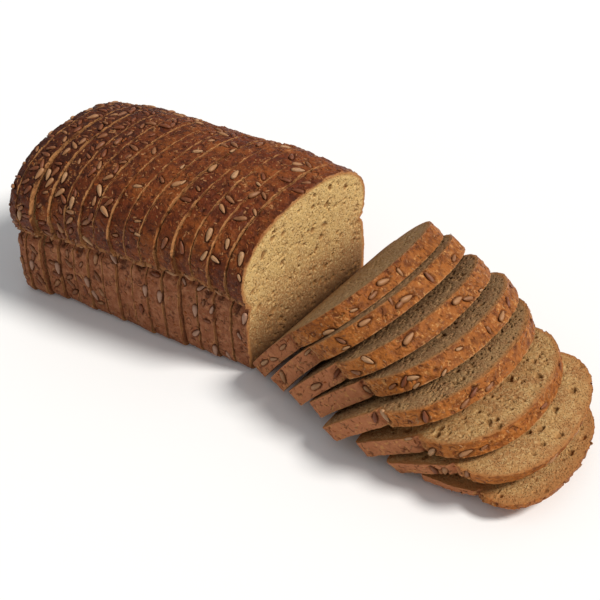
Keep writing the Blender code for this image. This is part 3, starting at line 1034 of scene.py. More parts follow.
def grow(name, mesh, tree, values):
    """Run a tree on a mesh and return the plain mesh that comes out."""
    host = bpy.data.objects.new(name, mesh)
    bpy.context.scene.collection.objects.link(host)
    modifier = host.modifiers.new(tree.name, "NODES")
    modifier.node_group = tree
    for item in tree.interface.items_tree:
        if item.in_out == "INPUT" and item.name in values:
            modifier[item.identifier] = values[item.name]
    graph = bpy.context.evaluated_depsgraph_get()
    grown = bpy.data.meshes.new_from_object(
        host.evaluated_get(graph), preserve_all_data_layers=True, depsgraph=graph)
    bpy.data.objects.remove(host, do_unlink=True)
    bpy.data.meshes.remove(mesh)
    grown.name = name
    return grown


# %% Pits in the cells of a Voronoi pattern
def remembered(wire, name, kind="FLOAT"):
    """A named attribute of the mesh."""
    return wire.node("GeometryNodeInputNamedAttribute", {"data_type": kind}, {"Name": name})


def pits(place, size, share, reach, soft):
    """Pits in a share of the cells, up to reach cell sizes in radius, 0 to 1 deep."""
    distance = place.cells(size)
    chance = distance.beside("Color").part(0)
    radius = chance.ramp(1.0 - share, 1.0 - 0.4 * share, 0.0, reach)
    return (radius - distance).ramp(0.0, soft)


# %% Where the bread changes, along the whole loaf from the block's cut face
DARK_END = (-170.0 * MM, -60.0 * MM)
# Painted shade in the gaps between standing slices, up to here.
GAP_SHADE_UP_TO = (-11.0 * MM, -9.0 * MM)
FACE_BEGINS, FACE_ENDS = (-1.0 * MM, 0.0), (2.0 * MM, 6.0 * MM)
TOPPLED = (2.0 * MM, 20.0 * MM)
DRIED_BEGINS, DRIED_ENDS = (2.0 * MM, 12.0 * MM), (50.0 * MM, 66.0 * MM)
# Painted shade on the steep faces of the first toppled slices, between these places.
STEEP_SHADE_BEGINS, STEEP_SHADE_ENDS = (2.0 * MM, 10.0 * MM), (48.0 * MM, 62.0 * MM)
LOAF_END = (54.0 * MM, 66.0 * MM)
BROWN_END = (64.0 * MM, 84.0 * MM)

# %% Where it changes above the waist
DOME_BEGINS = (-1.0 * MM, 4.0 * MM)
LIP_FADES = (2.0 * MM, 8.0 * MM)
DOME_TOP = (18.0 * MM, 46.0 * MM)

# %% Hollows of the crumb
FOAM_STRETCH = (0.85, 0.9, 1.1)
FOAM_DRIFT = (9.0 * MM, 5.0 * MM)   # size of its lumps, and how far it pushes
HOLES = (0.5, 0.19, 0.10)           # share of the cells, reach and softness of the pits
PORES = (0.8, 0.37, 0.20)
FINE_PORES = (0.9, 0.44, 0.26)
END_HOLES = (0.65, 0.29, 0.13)


def crumb_hollow(given, place, under, cut):
    """How deep each point of a cut face is sunk."""
    foam = place.vector("ADD", place.drift(*FOAM_DRIFT)).vector("MULTIPLY", FOAM_STRETCH)
    open_crumb = under.ramp(2.0 * MM, 8.0 * MM, 0.5, 1.0)
    holes = pits(foam, given["Hole Size"], *HOLES) * given["Hole Depth"]
    pores = pits(foam, given["Pore Size"], *PORES) * given["Pore Depth"]
    fine = pits(foam, given["Fine Pore Size"], *FINE_PORES) * given["Fine Pore Depth"]
    hollow = holes.most(pores) * open_crumb + fine
    along = place.part(0)
    loaf_end = along.ramp(*LOAF_END)
    end_holes = pits(foam, given["End Hole Size"], *END_HOLES) * given["End Hole Depth"]
    block_face = along.ramp(*FACE_BEGINS) * along.ramp(*FACE_ENDS, 1.0, 0.0)
    end_holes = end_holes * loaf_end.most(block_face * 0.75)
    hollow = (hollow * (1.0 - loaf_end * 0.45)).most(end_holes)
    dried = along.ramp(*DRIED_BEGINS) * along.ramp(*DRIED_ENDS, 1.0, 0.1)
    dried = dried * given["Drying"] + 1.0
    hollow = hollow * dried * under.ramp(0.2 * MM, 5.0 * MM, 0.15, 1.0)
    return hollow * under.ramp(0.0, 0.4 * MM) * cut.math("ABSOLUTE")


# %% Wrinkles of the crust
DENTS = (0.55, 0.34, 0.22)


def crust_skin(place):
    """Swells, bumps and dents of the crust, mostly from -1 to 1."""
    swells = place.noise(11.0 * MM, 3.0, 0.55) * 2.2 - 1.1
    bumps = place.noise(3.2 * MM, 3.0, 0.6) * 1.8 - 0.9
    dents = pits(place, 5.5 * MM, *DENTS)
    return swells * 0.8 + bumps * 1.7 - dents * 1.1


def crust_rise(given, place, out, under, skin):
    """How far the crust rises, with its torn waist, crumbled edges and nests."""
    off_table = out.part(2).ramp(-0.9, -0.4)
    to_cut = remembered(place, "from_left").least(remembered(place, "from_right"))
    ragged = place.noise(1.8 * MM) - 0.62
    crumbled = to_cut.ramp(0.0, 1.2 * MM, 1.0, 0.0) * ragged
    waist = remembered(place, "above_waist")
    lip = waist.ramp(-1.0 * MM, 1.0 * MM) * waist.ramp(*LIP_FADES, 1.0, 0.0)
    torn = place.noise(4.2 * MM, 3.0, 0.65).ramp(0.34, 0.66, -1.0, 0.6) * lip
    rise = skin * given["Wrinkle Height"] + torn * given["Tear Height"]
    rise = rise + crumbled * given["Edge Crumbling"]
    rise = rise - remembered(place, "nest") * given["Nest Depth"]
    return rise * off_table * under.ramp(0.0, 3.5 * MM, 1.0, 0.0)


# %% The relief tree
HOLLOW_UNIT = 1.4 * MM          # a hollow this deep counts as 1 in the colours


def relief_tree():
    """Carve pores into cut faces, and wrinkles, a torn waist and nests into crust."""
    tree, given, end = new_tree("bread_relief", {
        "Hole Size": ("NodeSocketFloat", 13.0 * MM),
        "Hole Depth": ("NodeSocketFloat", 2.0 * MM),
        "Pore Size": ("NodeSocketFloat", 3.9 * MM),
        "Pore Depth": ("NodeSocketFloat", 1.3 * MM),
        "Fine Pore Size": ("NodeSocketFloat", 2.0 * MM),
        "Fine Pore Depth": ("NodeSocketFloat", 0.7 * MM),
        "End Hole Size": ("NodeSocketFloat", 9.5 * MM),
        "End Hole Depth": ("NodeSocketFloat", 1.5 * MM),
        "Drying": ("NodeSocketFloat", 1.6),
        "Wrinkle Height": ("NodeSocketFloat", 0.6 * MM),
        "Tear Height": ("NodeSocketFloat", 1.5 * MM),
        "Edge Crumbling": ("NodeSocketFloat", 0.8 * MM),
        "Nest Depth": ("NodeSocketFloat", 0.95 * MM),
        "Material": ("NodeSocketMaterial", None),
    })
    solid = given["Geometry"]
    place = remembered(solid, "baked_at", "FLOAT_VECTOR")
    out = remembered(solid, "crust_faces", "FLOAT_VECTOR")
    under = remembered(solid, "crust_depth")
    cut = remembered(solid, "cut_side")
    hollow = crumb_hollow(given, place, under, cut)
    skin = crust_skin(place)
    rise = crust_rise(given, place, out, under, skin)
    sink = solid.node("ShaderNodeCombineXYZ", None, {0: hollow * cut * -1.0})
    moved = sink.vector("ADD", out.vector("SCALE", rise, "Scale"))
    for name, value in (("hollow", hollow / HOLLOW_UNIT), ("skin", skin)):
        solid = solid.node("GeometryNodeStoreNamedAttribute",
                           {"data_type": "FLOAT", "domain": "POINT"},
                           {0: solid, "Name": name, "Value": value})
    solid = solid.node("GeometryNodeSetPosition", None, {0: solid, "Offset": moved})
    finish_tree(tree, solid, given["Material"], end)
    return tree


relief = relief_tree()
print("relief tree has", len(relief.nodes), "nodes")

# %% [markdown]
# ## The colours of bread
#
# Crust is browned by heat: dark and reddish on the dome, duller on the walls that the
# tin shaded, and pale where the dough tore at the waist. Under the crust the brown
# fades through tan to crumb within four millimetres. Crumb is a warm tan with flecks of
# bran, and browner on the toppled slices. Painted shade darkens the pores, the crust's
# hollows and creases, the crust round each kernel, the gaps between standing slices,
# the foot of the block's cut face and the steep faces of the first toppled slices.
# Painted light makes the toppled crust lighter and amber, with painted highlights on
# its ridges, in glints and streaks, and on the cut edges that face the sun. One
# material holds crust and crumb, and asks each point how deep it lies under the crust.

# %% Colours, as linear values
DOME_BROWN = (0.140, 0.029, 0.0075, 1.0)
DOME_DARK = (0.050, 0.012, 0.005, 1.0)
DOME_AMBER = (0.240, 0.063, 0.013, 1.0)
# Painted light: the toppled crust, which faces the sun, made brighter amber.
TOPPLED_PAINTED_LIGHT_AMBER = (0.440, 0.142, 0.026, 1.0)
WALL_BROWN = (0.265, 0.088, 0.037, 1.0)
WALL_PALE = (0.380, 0.155, 0.075, 1.0)
# Painted highlight on the ridges of the toppled crust.
RIDGE_PAINTED_HIGHLIGHT = (0.520, 0.215, 0.050, 1.0)
# Painted highlight streaks on the toppled crust.
STREAK_PAINTED_HIGHLIGHT = (0.600, 0.290, 0.095, 1.0)
# Painted shade in the gaps between standing slices.
GAP_SHADE_BROWN = (0.270, 0.098, 0.032, 1.0)
TORN_TAN = (0.400, 0.180, 0.062, 1.0)
CUT_EDGE_TAN = (0.470, 0.215, 0.080, 1.0)
UNDER_CRUST = (0.400, 0.170, 0.055, 1.0)
CRUMB_TAN = (0.600, 0.390, 0.150, 1.0)
CRUMB_LIGHT = (0.700, 0.500, 0.235, 1.0)
CRUMB_BROWN = (0.390, 0.190, 0.070, 1.0)
# Painted shade for the foot of the block's cut face.
CRUMB_FOOT_SHADE = (0.120, 0.050, 0.020, 1.0)
# Painted shade for the steep faces of the first toppled slices.
CRUMB_STEEP_SHADE = (0.225, 0.122, 0.066, 1.0)
# Painted light: a lighter copy of the wall crust for the toppled slices.
TOPPLED_WALL_PAINTED_LIGHT = (0.480, 0.180, 0.076, 1.0)
# Painted shade inside the pores.
PORE_PAINTED_SHADE = (0.260, 0.125, 0.040, 1.0)
BRAN = (0.210, 0.085, 0.030, 1.0)
# Painted shade round the kernels.
NEST_PAINTED_SHADE = (0.060, 0.018, 0.009, 1.0)
BREAD_SHEEN = 0.12
GAP_SHADE_DEPTH = 1.8 * MM         # how far the painted shade of the gaps reaches into the cuts within the block


def new_material(name):
    """An empty node material: its first wire, its shader and its tree."""
    material = bpy.data.materials.new(name)
    material.use_nodes = True
    tree = material.node_tree
    return material, Wire(tree), tree.nodes["Principled BSDF"]


def told(wire, name, kind="Fac"):
    """What a point of the mesh remembers, for a shader."""
    return wire.node("ShaderNodeAttribute", {"attribute_name": name}, None, kind)


def feed(shader, socket, wire):
    """Link a wire to one of the shader's sockets."""
    wire.tree.links.new(wire.socket, shader.inputs[socket])


# %% What crust and crumb share
class Bread:
    """What each point of the bread remembers, the noises, and the colours made of them."""

    def __init__(self, wire):
        self.place = told(wire, "baked_at", "Vector")
        self.under = told(wire, "crust_depth")
        self.waist = told(wire, "above_waist")
        self.hollow = told(wire, "hollow")
        self.nest = told(wire, "nest")
        self.skin_height = told(wire, "skin")
        self.to_left, self.to_right = told(wire, "from_left"), told(wire, "from_right")
        self.patches = self.place.noise(22.0 * MM, 3.0, 0.55)
        self.mottle = self.place.noise(4.5 * MM, 4.0, 0.6)
        self.grain = self.place.noise(1.1 * MM, 3.0, 0.6)
        self.dome = self.waist.ramp(*DOME_BEGINS)
        self.along = self.place.part(0)
        self.toppled = self.along.ramp(*TOPPLED)
        self.calm = 1.0 - self.toppled * 0.6
        # Crease lines: painted shade in the colour, and a dip in the bump.
        crease = (self.place.noise(6.0 * MM, 1.5) - 0.5).math("ABSOLUTE")
        crease = crease.ramp(0.0, 0.05, 1.0, 0.0)
        self.crease = crease * self.place.noise(5.0 * MM).ramp(0.5, 0.62)
        loaf_end = self.along.ramp(*LOAF_END)
        self.tiny = self.place.cells(1.05 * MM).ramp(0.12, 0.42, 0.75, 0.0)
        self.tiny = self.tiny * (1.0 - loaf_end * 0.45)

    def dome_colour(self):
        """The dome: dark and reddish, amber on the toppled slices as painted light, with
        painted shade in its hollows and painted highlight on its ridges.
        """
        height, toppled, mottle = self.skin_height, self.toppled, self.mottle
        dark_end = self.along.ramp(*DARK_END, 1.0, 0.0)
        colour = self.patches.ramp(0.38, 0.66).mix(DOME_BROWN, DOME_AMBER)
        # The toppled slices' crust made amber: painted light.
        colour = (toppled * mottle.ramp(0.3, 0.6, 0.5, 1.0)).mix(colour, TOPPLED_PAINTED_LIGHT_AMBER)
        dark_top = dark_end.most(toppled * 0.4) * self.waist.ramp(*DOME_TOP, 0.0, 0.75)
        shade = mottle.ramp(0.36, 0.58, 0.65, 0.0) * self.calm + dark_top
        colour = shade.mix(colour, DOME_DARK)
        # Painted shade in the hollows of the crust, and painted highlight on its ridges.
        colour = height.ramp(-1.3, -0.1, 0.75, 0.0).mix(colour, DOME_DARK)
        colour = height.ramp(0.2, 1.2, 0.0, 0.5).mix(colour, DOME_AMBER)
        return (toppled * height.ramp(0.1, 1.3, 0.0, 0.7)).mix(colour, RIDGE_PAINTED_HIGHLIGHT)

    def wall_colour(self):
        """The walls: duller, where the tin kept the heat off, lighter on the toppled slices as
        painted light, and with painted shade in their hollows.
        """
        colour = self.mottle.ramp(0.40, 0.70).mix(WALL_BROWN, WALL_PALE)
        # The toppled slices' walls made lighter: painted light.
        colour = (self.toppled * 0.8).mix(colour, TOPPLED_WALL_PAINTED_LIGHT)
        # Painted shade in the hollows of the crust.
        return self.skin_height.ramp(-1.2, -0.2, 0.6, 0.0).mix(colour, DOME_DARK)

    def marked(self, crust):
        """Crust with its torn lip, freckles and scabs, painted shade in its creases, and
        painted highlights as glints and streaks.
        """
        place, waist = self.place, self.waist
        lip = waist.ramp(-0.5 * MM, 1.0 * MM) * waist.ramp(*LIP_FADES, 1.0, 0.0)
        crust = (lip * self.mottle.ramp(0.35, 0.6, 0.15, 0.9)).mix(crust, TORN_TAN)
        freckle = self.grain.ramp(0.58, 0.70, 0.0, 0.5)
        crust = (freckle * self.calm).mix(crust, DOME_DARK)
        # Painted shade in the creases.
        crust = (self.crease * 0.6).mix(crust, DOME_DARK)
        # The glints, and the straw streaks on the toppled slices, are painted highlights.
        glints = place.noise(1.9 * MM, 3.0, 0.6)
        crust = glints.ramp(0.61, 0.70, 0.0, 0.6).mix(crust, TORN_TAN)
        straw = glints.ramp(0.52, 0.66, 0.0, 0.7) * place.noise(7.0 * MM).ramp(0.44, 0.6)
        crust = (straw * self.toppled).mix(crust, STREAK_PAINTED_HIGHLIGHT)
        scabs = place.noise(8.0 * MM).ramp(0.64, 0.70) * self.grain.ramp(0.45, 0.60)
        return (scabs * 0.8).mix(crust, CUT_EDGE_TAN)

    def edged(self, crust):
        """Crust with pale broken edges at the cuts, partly painted highlight, and painted shade
        round the kernels.
        """
        wobble = (self.place.noise(6.0 * MM, 3.0, 0.6) - 0.5) * (2.4 * MM)
        # Pale cut edges: partly the cut crust's own tan, and stronger on the right cuts, which
        # face the sun, as painted highlight.
        right = (self.to_right + wobble).ramp(0.1 * MM, 0.5 * MM, 0.85, 0.0)
        left = (self.to_left - wobble).ramp(0.0, 0.35 * MM, 0.5, 0.0)
        broken = self.place.noise(9.0 * MM).ramp(0.36, 0.56, 0.25, 1.0)
        crust = (right.most(left) * broken).mix(crust, CUT_EDGE_TAN)
        # Painted shade round each kernel, where it sits in its dip.
        crust = (self.nest * 0.65).mix(crust, NEST_PAINTED_SHADE)
        rim = self.toppled * self.under.ramp(0.02 * MM, 0.3 * MM, 0.0, 0.85)
        return rim.mix(crust, UNDER_CRUST)

    def crumb_colour(self):
        """Crumb: tan, browner on the toppled slices, with painted shade towards the foot, on
        the first toppled slices' steep faces and in its pores.
        """
        place, toppled, along = self.place, self.toppled, self.along
        below = self.waist * (-1.0 / MM)
        # Browner on the toppled slices, and browner towards the foot as painted shade.
        browner = below.ramp(-25.0, 35.0).most(toppled * 0.7)
        browner = browner + place.noise(11.0 * MM, 3.0).ramp(0.35, 0.65, -0.1, 0.3)
        crumb = browner.mix(CRUMB_TAN, CRUMB_BROWN)
        light = place.noise(1.6 * MM, 3.0, 0.6).ramp(0.45, 0.66, 0.0, 0.8)
        crumb = (light * (1.0 - toppled * 0.4)).mix(crumb, CRUMB_LIGHT)
        # Painted shade at the foot of the block's cut face.
        shadow_foot = below.ramp(0.0, 42.0, 0.0, 0.9) * (1.0 - toppled)
        crumb = shadow_foot.mix(crumb, CRUMB_FOOT_SHADE)
        # Painted shade on the steep faces of the first toppled slices, which turn away from the
        # sun.
        steep_shade = along.ramp(*STEEP_SHADE_BEGINS) * along.ramp(*STEEP_SHADE_ENDS, 0.6, 0.0)
        crumb = steep_shade.mix(crumb, CRUMB_STEEP_SHADE)
        # Painted shade inside the fine pores and the deeper hollows.
        crumb = self.tiny.mix(crumb, PORE_PAINTED_SHADE)
        crumb = self.hollow.ramp(0.12, 0.85, 0.0, 0.85).mix(crumb, PORE_PAINTED_SHADE)
        bran = place.noise(2.3 * MM).ramp(0.66, 0.72, 0.0, 0.75)
        return bran.mix(crumb, BRAN)

    def browned(self, crumb, fade, gap_shade):
        """Crumb with the brown that fades in from the crust, and painted shade between standing
        slices.
        """
        toasted = (fade - gap_shade).ramp(0.8 * MM, 3.6 * MM, 0.9, 0.0)
        near_end = self.along.ramp(*BROWN_END) * fade.ramp(2.0 * MM, 11.0 * MM, 0.75, 0.0)
        # Between standing slices the brown is darker: painted shade in the gaps.
        brown = (gap_shade / GAP_SHADE_DEPTH).mix(UNDER_CRUST, GAP_SHADE_BROWN)
        brown = ((1.0 - self.dome) * gap_shade / GAP_SHADE_DEPTH).mix(brown, WALL_BROWN)
        return toasted.most(near_end).mix(crumb, brown)

    def bump_height(self, skin):
        """The fine grain of crust and crumb, as a height."""
        skin_grain = self.grain * 0.55 + self.mottle * 1.6 - self.crease * 0.5 - 1.1
        crumb_grain = self.place.noise(0.8 * MM) * 0.3 - self.tiny * (0.6 + self.toppled * 0.5)
        return skin_grain * skin + crumb_grain * (1.0 - skin)


# %% Crust and crumb as one material
def bread_material():
    """Bread, from crust to crumb."""
    material, wire, shader = new_material("bread")
    look = Bread(wire)
    fade = look.under + (look.mottle - 0.5) * (1.3 * MM)
    # Within the block the crust and its brown reach further into the cut faces: painted shade
    # in the gaps between standing slices.
    gap_shade = look.along.ramp(*GAP_SHADE_UP_TO, GAP_SHADE_DEPTH, 0.0)
    skin = (fade - gap_shade * 0.5).ramp(0.25 * MM, 1.3 * MM, 1.0, 0.0)
    crust = look.dome.mix(look.wall_colour(), look.dome_colour())
    crust = look.edged(look.marked(crust))
    crumb = look.browned(look.crumb_colour(), fade, gap_shade)
    feed(shader, "Base Color", skin.mix(crumb, crust))
    gloss = look.dome * look.patches.ramp(0.3, 0.7, 0.38, 0.56) + (1.0 - look.dome) * 0.70
    feed(shader, "Roughness", gloss * skin + (1.0 - skin) * 0.95)
    feed(shader, "Normal", wire.node("ShaderNodeBump", None, {
        "Strength": 1.0, "Distance": 1.0 * MM, "Height": look.bump_height(skin)}))
    shader.inputs["Specular IOR Level"].default_value = BREAD_SHEEN
    return material


bread = bread_material()
print("bread material has", len(bread.node_tree.nodes), "nodes")

# %% [markdown]
# ## Dressing the slices
#
# Every slice becomes a blank, the relief tree carves it, and only then is it bent,
# turned and set down, so that pores and wrinkles are the same shape on a flat slice
# and a sagging one. The block's cut face and the upper faces of the toppled slices
# show fully. The faces between standing slices are hidden, and stay simple.

# %% Which faces show
def face_styles(index):
    """How the left and right face of a slice are closed: by a grid or by rings."""
    if index == 0:
        return "grid", HIDDEN_RINGS
    if index == BLOCK_SLICES - 1:
        return HIDDEN_RINGS, "grid"
    if index < BLOCK_SLICES:
        return HIDDEN_RINGS, HIDDEN_RINGS
    if index in (len(shapes) - 2, len(shapes) - 1):
        return "grid", "grid"
    return "grid", HALF_SHOWN_RINGS


def set_in_frame(name, mesh):
    """Make a piece whose object sits at the origin and rides on the loaf."""
    piece = bpy.data.objects.new(name, mesh)
    bpy.context.scene.collection.objects.link(piece)
    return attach(piece, "root") or piece


# %% From blank to dressed slice
SHARP_EDGE = math.radians(62.0)


def dress(index, shape):
    """Carve a slice's blank, set it down, and put it in the place of its plain solid."""
    crusted = {0: -1, len(shapes) - 1: 1}.get(index, 0)
    blank = Blank(shape, *face_styles(index), crusted)
    mesh = blank.mesh()
    flat = np.vstack(blank.points)
    nests = np.zeros(len(flat))
    for kernel in kernels[shape.name]:
        nests = np.maximum(nests, kernel.nest(flat))
    layer = mesh.attributes.new("nest", "FLOAT", "POINT")
    layer.data.foreach_set("value", nests.astype(np.float32))
    mesh = grow(shape.name + "_dressed", mesh, relief, {"Material": bread})
    points = np.empty(len(mesh.vertices) * 3)
    mesh.vertices.foreach_get("co", points)
    mesh.vertices.foreach_set("co", shape.put(points.reshape(-1, 3)).ravel())
    mesh.polygons.foreach_set("use_smooth", [True] * len(mesh.polygons))
    mesh.set_sharp_from_angle(angle=SHARP_EDGE)
    mesh.update()
    piece = set_in_frame(mesh.name, mesh)
    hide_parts(shape.name)
    "crust" if index < BLOCK_SLICES or crusted else "crumb"
    return piece


dressed = {}
for index, shape in enumerate(shapes):
    dressed[shape.name] = dress(index, shape)
    print(shape.name, len(dressed[shape.name].data.polygons), "faces")

# %% [markdown]
# ## The sunflower kernels
#
# A hulled kernel is a flattened teardrop, blunt at one end and pointed at the other,
# with a thin keel round its edge. A tree shapes one from a ball, sets it on every
# spot, and roughens each copy a little after it is real mesh. The spots carry a turn,
# a size and a degree of toasting.

# %% Copies of one shape on many spots
def ball_for(spots, segments, rings):
    """A ball of diameter 1 to be shaped."""
    return spots.node("GeometryNodeMeshUVSphere", None,
                      {"Segments": segments, "Rings": rings, "Radius": 0.5})


def scatter(spots, shaped, size, lumps, push):
    """Set a shape on the spots, make its copies real, roughen them and smooth them."""
    turn = remembered(spots, "turn", "FLOAT_VECTOR")
    turn = turn.node("FunctionNodeEulerToRotation", None, {0: turn})
    placed = spots.node("GeometryNodeInstanceOnPoints", None,
                        {"Points": spots, "Instance": shaped, "Rotation": turn,
                         "Scale": size})
    real = placed.node("GeometryNodeRealizeInstances", None, {0: placed})
    where = real.node("GeometryNodeInputPosition")
    real = real.node("GeometryNodeSetPosition", None,
                     {0: real, "Offset": where.drift(lumps, push)})
    return real.node("GeometryNodeSetShadeSmooth", None, {0: real})


# %% The kernel tree
KERNEL_BALL = (12, 12)          # segments and rings


def kernel_tree():
    """Shape a kernel and set it on each point."""
    tree, given, end = new_tree("sunflower_kernels", {
        "Length": ("NodeSocketFloat", SEED_LENGTH),
        "Width": ("NodeSocketFloat", KERNEL_SLIMNESS * SEED_WIDTH),
        "Depth": ("NodeSocketFloat", SEED_DEPTH),
        "Point": ("NodeSocketFloat", 0.42),
        "Roughening": ("NodeSocketFloat", 0.28 * MM),
        "Material": ("NodeSocketMaterial", None),
    })
    spots = given["Geometry"]
    ball = ball_for(spots, *KERNEL_BALL)
    at = spots.node("GeometryNodeInputPosition")
    along = at.part(2)
    taper = 1.0 - along.ramp(-0.15, 0.5) * given["Point"]
    blunt = along.ramp(-0.5, -0.2, 1.12, 1.0)
    girth = taper * blunt * (along * along * 1.1 + 1.0)
    stretch = spots.node("ShaderNodeCombineXYZ", None,
                         {0: girth * given["Width"], 1: girth * given["Depth"],
                          2: given["Length"]})
    shaped = at.vector("MULTIPLY", stretch)
    ball = ball.node("GeometryNodeStoreNamedAttribute",
                     {"data_type": "FLOAT_VECTOR", "domain": "POINT"},
                     {0: ball, "Name": "kernel_place", "Value": at})
    ball = ball.node("GeometryNodeSetPosition", None, {0: ball, "Position": shaped})
    real = scatter(spots, ball, remembered(spots, "size"), 3.0 * MM, given["Roughening"] * 2.0)
    finish_tree(tree, real, given["Material"], end)
    return tree


# %% What the kernels look like
KERNEL_PALE = (0.480, 0.260, 0.120, 1.0)
KERNEL_GREY = (0.275, 0.138, 0.064, 1.0)
# Painted shade for kernels on the block's walls.
KERNEL_PAINTED_SHADE = (0.370, 0.200, 0.128, 1.0)
KERNEL_TAN = (0.350, 0.165, 0.068, 1.0)
KERNEL_TOASTED = (0.215, 0.080, 0.028, 1.0)
KERNEL_GLAZED = (0.170, 0.046, 0.013, 1.0)
KERNEL_ROUGHNESS = 0.5
KERNEL_SHEEN = 0.35


def kernel_material():
    """Hulled sunflower kernel, pale to toasted, with faint streaks along it."""
    material, wire, shader = new_material("sunflower_kernel")
    toast = told(wire, "toast")
    local = told(wire, "kernel_place", "Vector")
    place = wire.node("ShaderNodeTexCoord", None, None, "Object")
    streaks = local.vector("ADD", place.vector("SCALE", 30.0, "Scale"))
    streaks = streaks.vector("MULTIPLY", (9.0, 9.0, 1.6)).noise(1.0, 3.0, 0.6)
    colour = streaks.ramp(0.35, 0.65).mix(KERNEL_GREY, KERNEL_PALE)
    brown = toast + (place.noise(2.0 * MM) - 0.5) * 0.35
    # Kernels on the block's walls turn dull and dark: painted shade.
    colour = brown.ramp(-0.6, -0.4, 1.0, 0.0).mix(colour, KERNEL_PAINTED_SHADE)
    colour = brown.ramp(-0.04, 0.10).mix(colour, KERNEL_TAN)
    colour = brown.ramp(0.25, 0.60).mix(colour, KERNEL_TOASTED)
    colour = brown.ramp(0.60, 0.75).mix(colour, KERNEL_GLAZED)
    feed(shader, "Base Color", colour)
    shader.inputs["Roughness"].default_value = KERNEL_ROUGHNESS
    shader.inputs["Specular IOR Level"].default_value = KERNEL_SHEEN
    bump = wire.node("ShaderNodeBump", None,
                     {"Strength": 0.5, "Distance": 0.3 * MM, "Height": streaks})
    feed(shader, "Normal", bump)
    return material


# %% Points for the kernels
def points_mesh(name, spots, facts):
    """A mesh of loose points that carry facts."""
    mesh = bpy.data.meshes.new(name)
    mesh.from_pydata([tuple(spot) for spot in spots], [], [])
    for label, values in facts.items():
        values = np.asarray(values, np.float32)
        kind, field = ("FLOAT", "value") if values.ndim == 1 else ("FLOAT_VECTOR", "vector")
        mesh.attributes.new(label, kind, "POINT").data.foreach_set(field, values.ravel())
    return mesh


every = [kernel for on_slice in kernels.values() for kernel in on_slice]
spots = points_mesh("kernel_spots", [kernel.spot for kernel in every], {
    "turn": [tuple(kernel.euler) for kernel in every],
    "size": [kernel.size for kernel in every],
    "toast": [kernel.toast for kernel in every],
})
mesh = grow("sunflower_kernels", spots, kernel_tree(), {"Material": kernel_material()})
kernel_piece = set_in_frame(mesh.name, mesh)
print("kernels:", len(every), "with", len(mesh.polygons), "faces")

# %% [markdown]
# ## Flakes of bran and husk
#
# Between the kernels the crust carries small curled flakes that catch the light, and
# dark bits of husk. They lie flat against the crust, so their spots are points of the
# dressed crust itself, each with the crust's own direction.

# %% Spots on the dressed crust
FLAKES_PER_SLICE = 110
FLAKE_LENGTH = 2.8 * MM
FLAKE_WIDTH = 1.1 * MM
FLAKE_THICKNESS = 0.5 * MM
FLAKE_BALL = (7, 6)             # segments and rings
FLAKE_SIZES = (0.45, 1.15)
FLAKE_SINK = 0.05 * MM
FLAKE_FLOOR = 4.0 * MM          # no flakes this near the table
flake_rng = np.random.default_rng(19)


def crust_spots(piece, count):
    """Random points of a piece's crust, each with the crust's direction."""
    mesh = piece.data
    size = len(mesh.vertices)
    read = {}
    for name, width, field in (("crust_depth", 1, "value"), ("baked_at", 3, "vector"),
                               ("from_left", 1, "value"), ("from_right", 1, "value")):
        values = np.empty(size * width)
        mesh.attributes[name].data.foreach_get(field, values)
        read[name] = values.reshape(size, width)
    places, normals = np.empty(size * 3), np.empty(size * 3)
    mesh.vertices.foreach_get("co", places)
    mesh.vertex_normals.foreach_get("vector", normals)
    places, normals = places.reshape(-1, 3), normals.reshape(-1, 3)
    able = (read["crust_depth"][:, 0] <= 0.0) & (read["baked_at"][:, 2] > FLAKE_FLOOR)
    able &= np.minimum(read["from_left"], read["from_right"])[:, 0] > FLAKE_WIDTH
    chosen = flake_rng.choice(np.flatnonzero(able), count, replace=False)
    return places[chosen], normals[chosen]


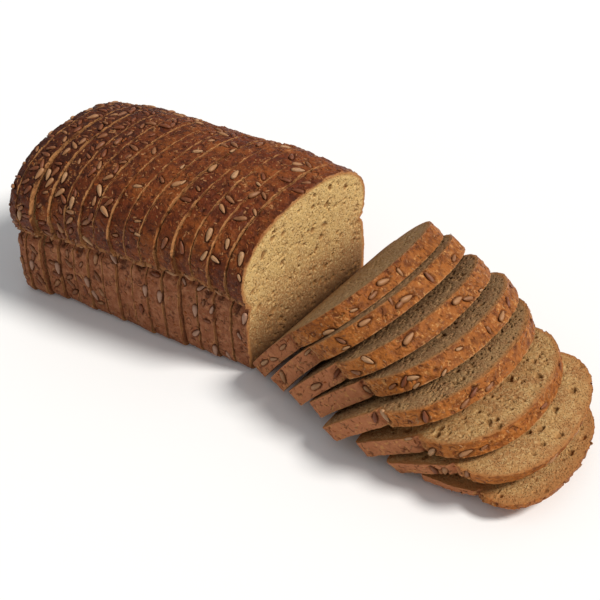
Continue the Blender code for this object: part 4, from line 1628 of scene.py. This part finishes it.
def flake_tree():
    """Shape a flake and lay it on each point."""
    tree, given, end = new_tree("bran_flakes", {
        "Length": ("NodeSocketFloat", FLAKE_LENGTH),
        "Width": ("NodeSocketFloat", FLAKE_WIDTH),
        "Thickness": ("NodeSocketFloat", FLAKE_THICKNESS),
        "Curl": ("NodeSocketFloat", 0.6 * MM),
        "Material": ("NodeSocketMaterial", None),
    })
    spots = given["Geometry"]
    ball = ball_for(spots, *FLAKE_BALL)
    at = spots.node("GeometryNodeInputPosition")
    stretch = spots.node("ShaderNodeCombineXYZ", None,
                         {0: given["Width"], 1: given["Thickness"], 2: given["Length"]})
    along = at.part(2)
    curl = spots.node("ShaderNodeCombineXYZ", None, {1: along * along * given["Curl"]})
    shaped = at.vector("MULTIPLY", stretch).vector("ADD", curl)
    ball = ball.node("GeometryNodeSetPosition", None, {0: ball, "Position": shaped})
    size = remembered(spots, "size", "FLOAT_VECTOR")
    finish_tree(tree, scatter(spots, ball, size, 1.1 * MM, 0.4 * MM), given["Material"], end)
    return tree


def flake_material():
    """Bran, from straw to burnt."""
    material, wire, shader = new_material("bran_flake")
    toast = told(wire, "toast")
    colour = toast.ramp(0.08, 0.35).mix(KERNEL_TAN, KERNEL_TOASTED)
    colour = toast.ramp(0.4, 0.9).mix(colour, DOME_AMBER)
    feed(shader, "Base Color", colour)
    shader.inputs["Roughness"].default_value = KERNEL_ROUGHNESS
    shader.inputs["Specular IOR Level"].default_value = BREAD_SHEEN
    return material


def any_turn(normal):
    """The turn of a flake that lies on the crust and points any way."""
    up = Vector(normal).normalized()
    length = up.orthogonal().normalized()
    length.rotate(Matrix.Rotation(flake_rng.uniform(0.0, math.tau), 3, up))
    return tuple(Matrix((up.cross(length), up, length)).transposed().to_euler())


found = [crust_spots(piece, FLAKES_PER_SLICE) for piece in dressed.values()]
places, normals = (np.vstack(rows) for rows in zip(*found))
turns = [any_turn(normal) for normal in normals]
sizes = flake_rng.uniform(*FLAKE_SIZES, (len(places), 3))
spots = points_mesh("flake_spots", places - normals * FLAKE_SINK, {
    "turn": turns, "size": sizes, "toast": flake_rng.random(len(places))})
mesh = grow("bran_flakes", spots, flake_tree(), {"Material": flake_material()})
flake_piece = set_in_frame(mesh.name, mesh)
print("flakes:", len(places), "with", len(mesh.polygons), "faces")
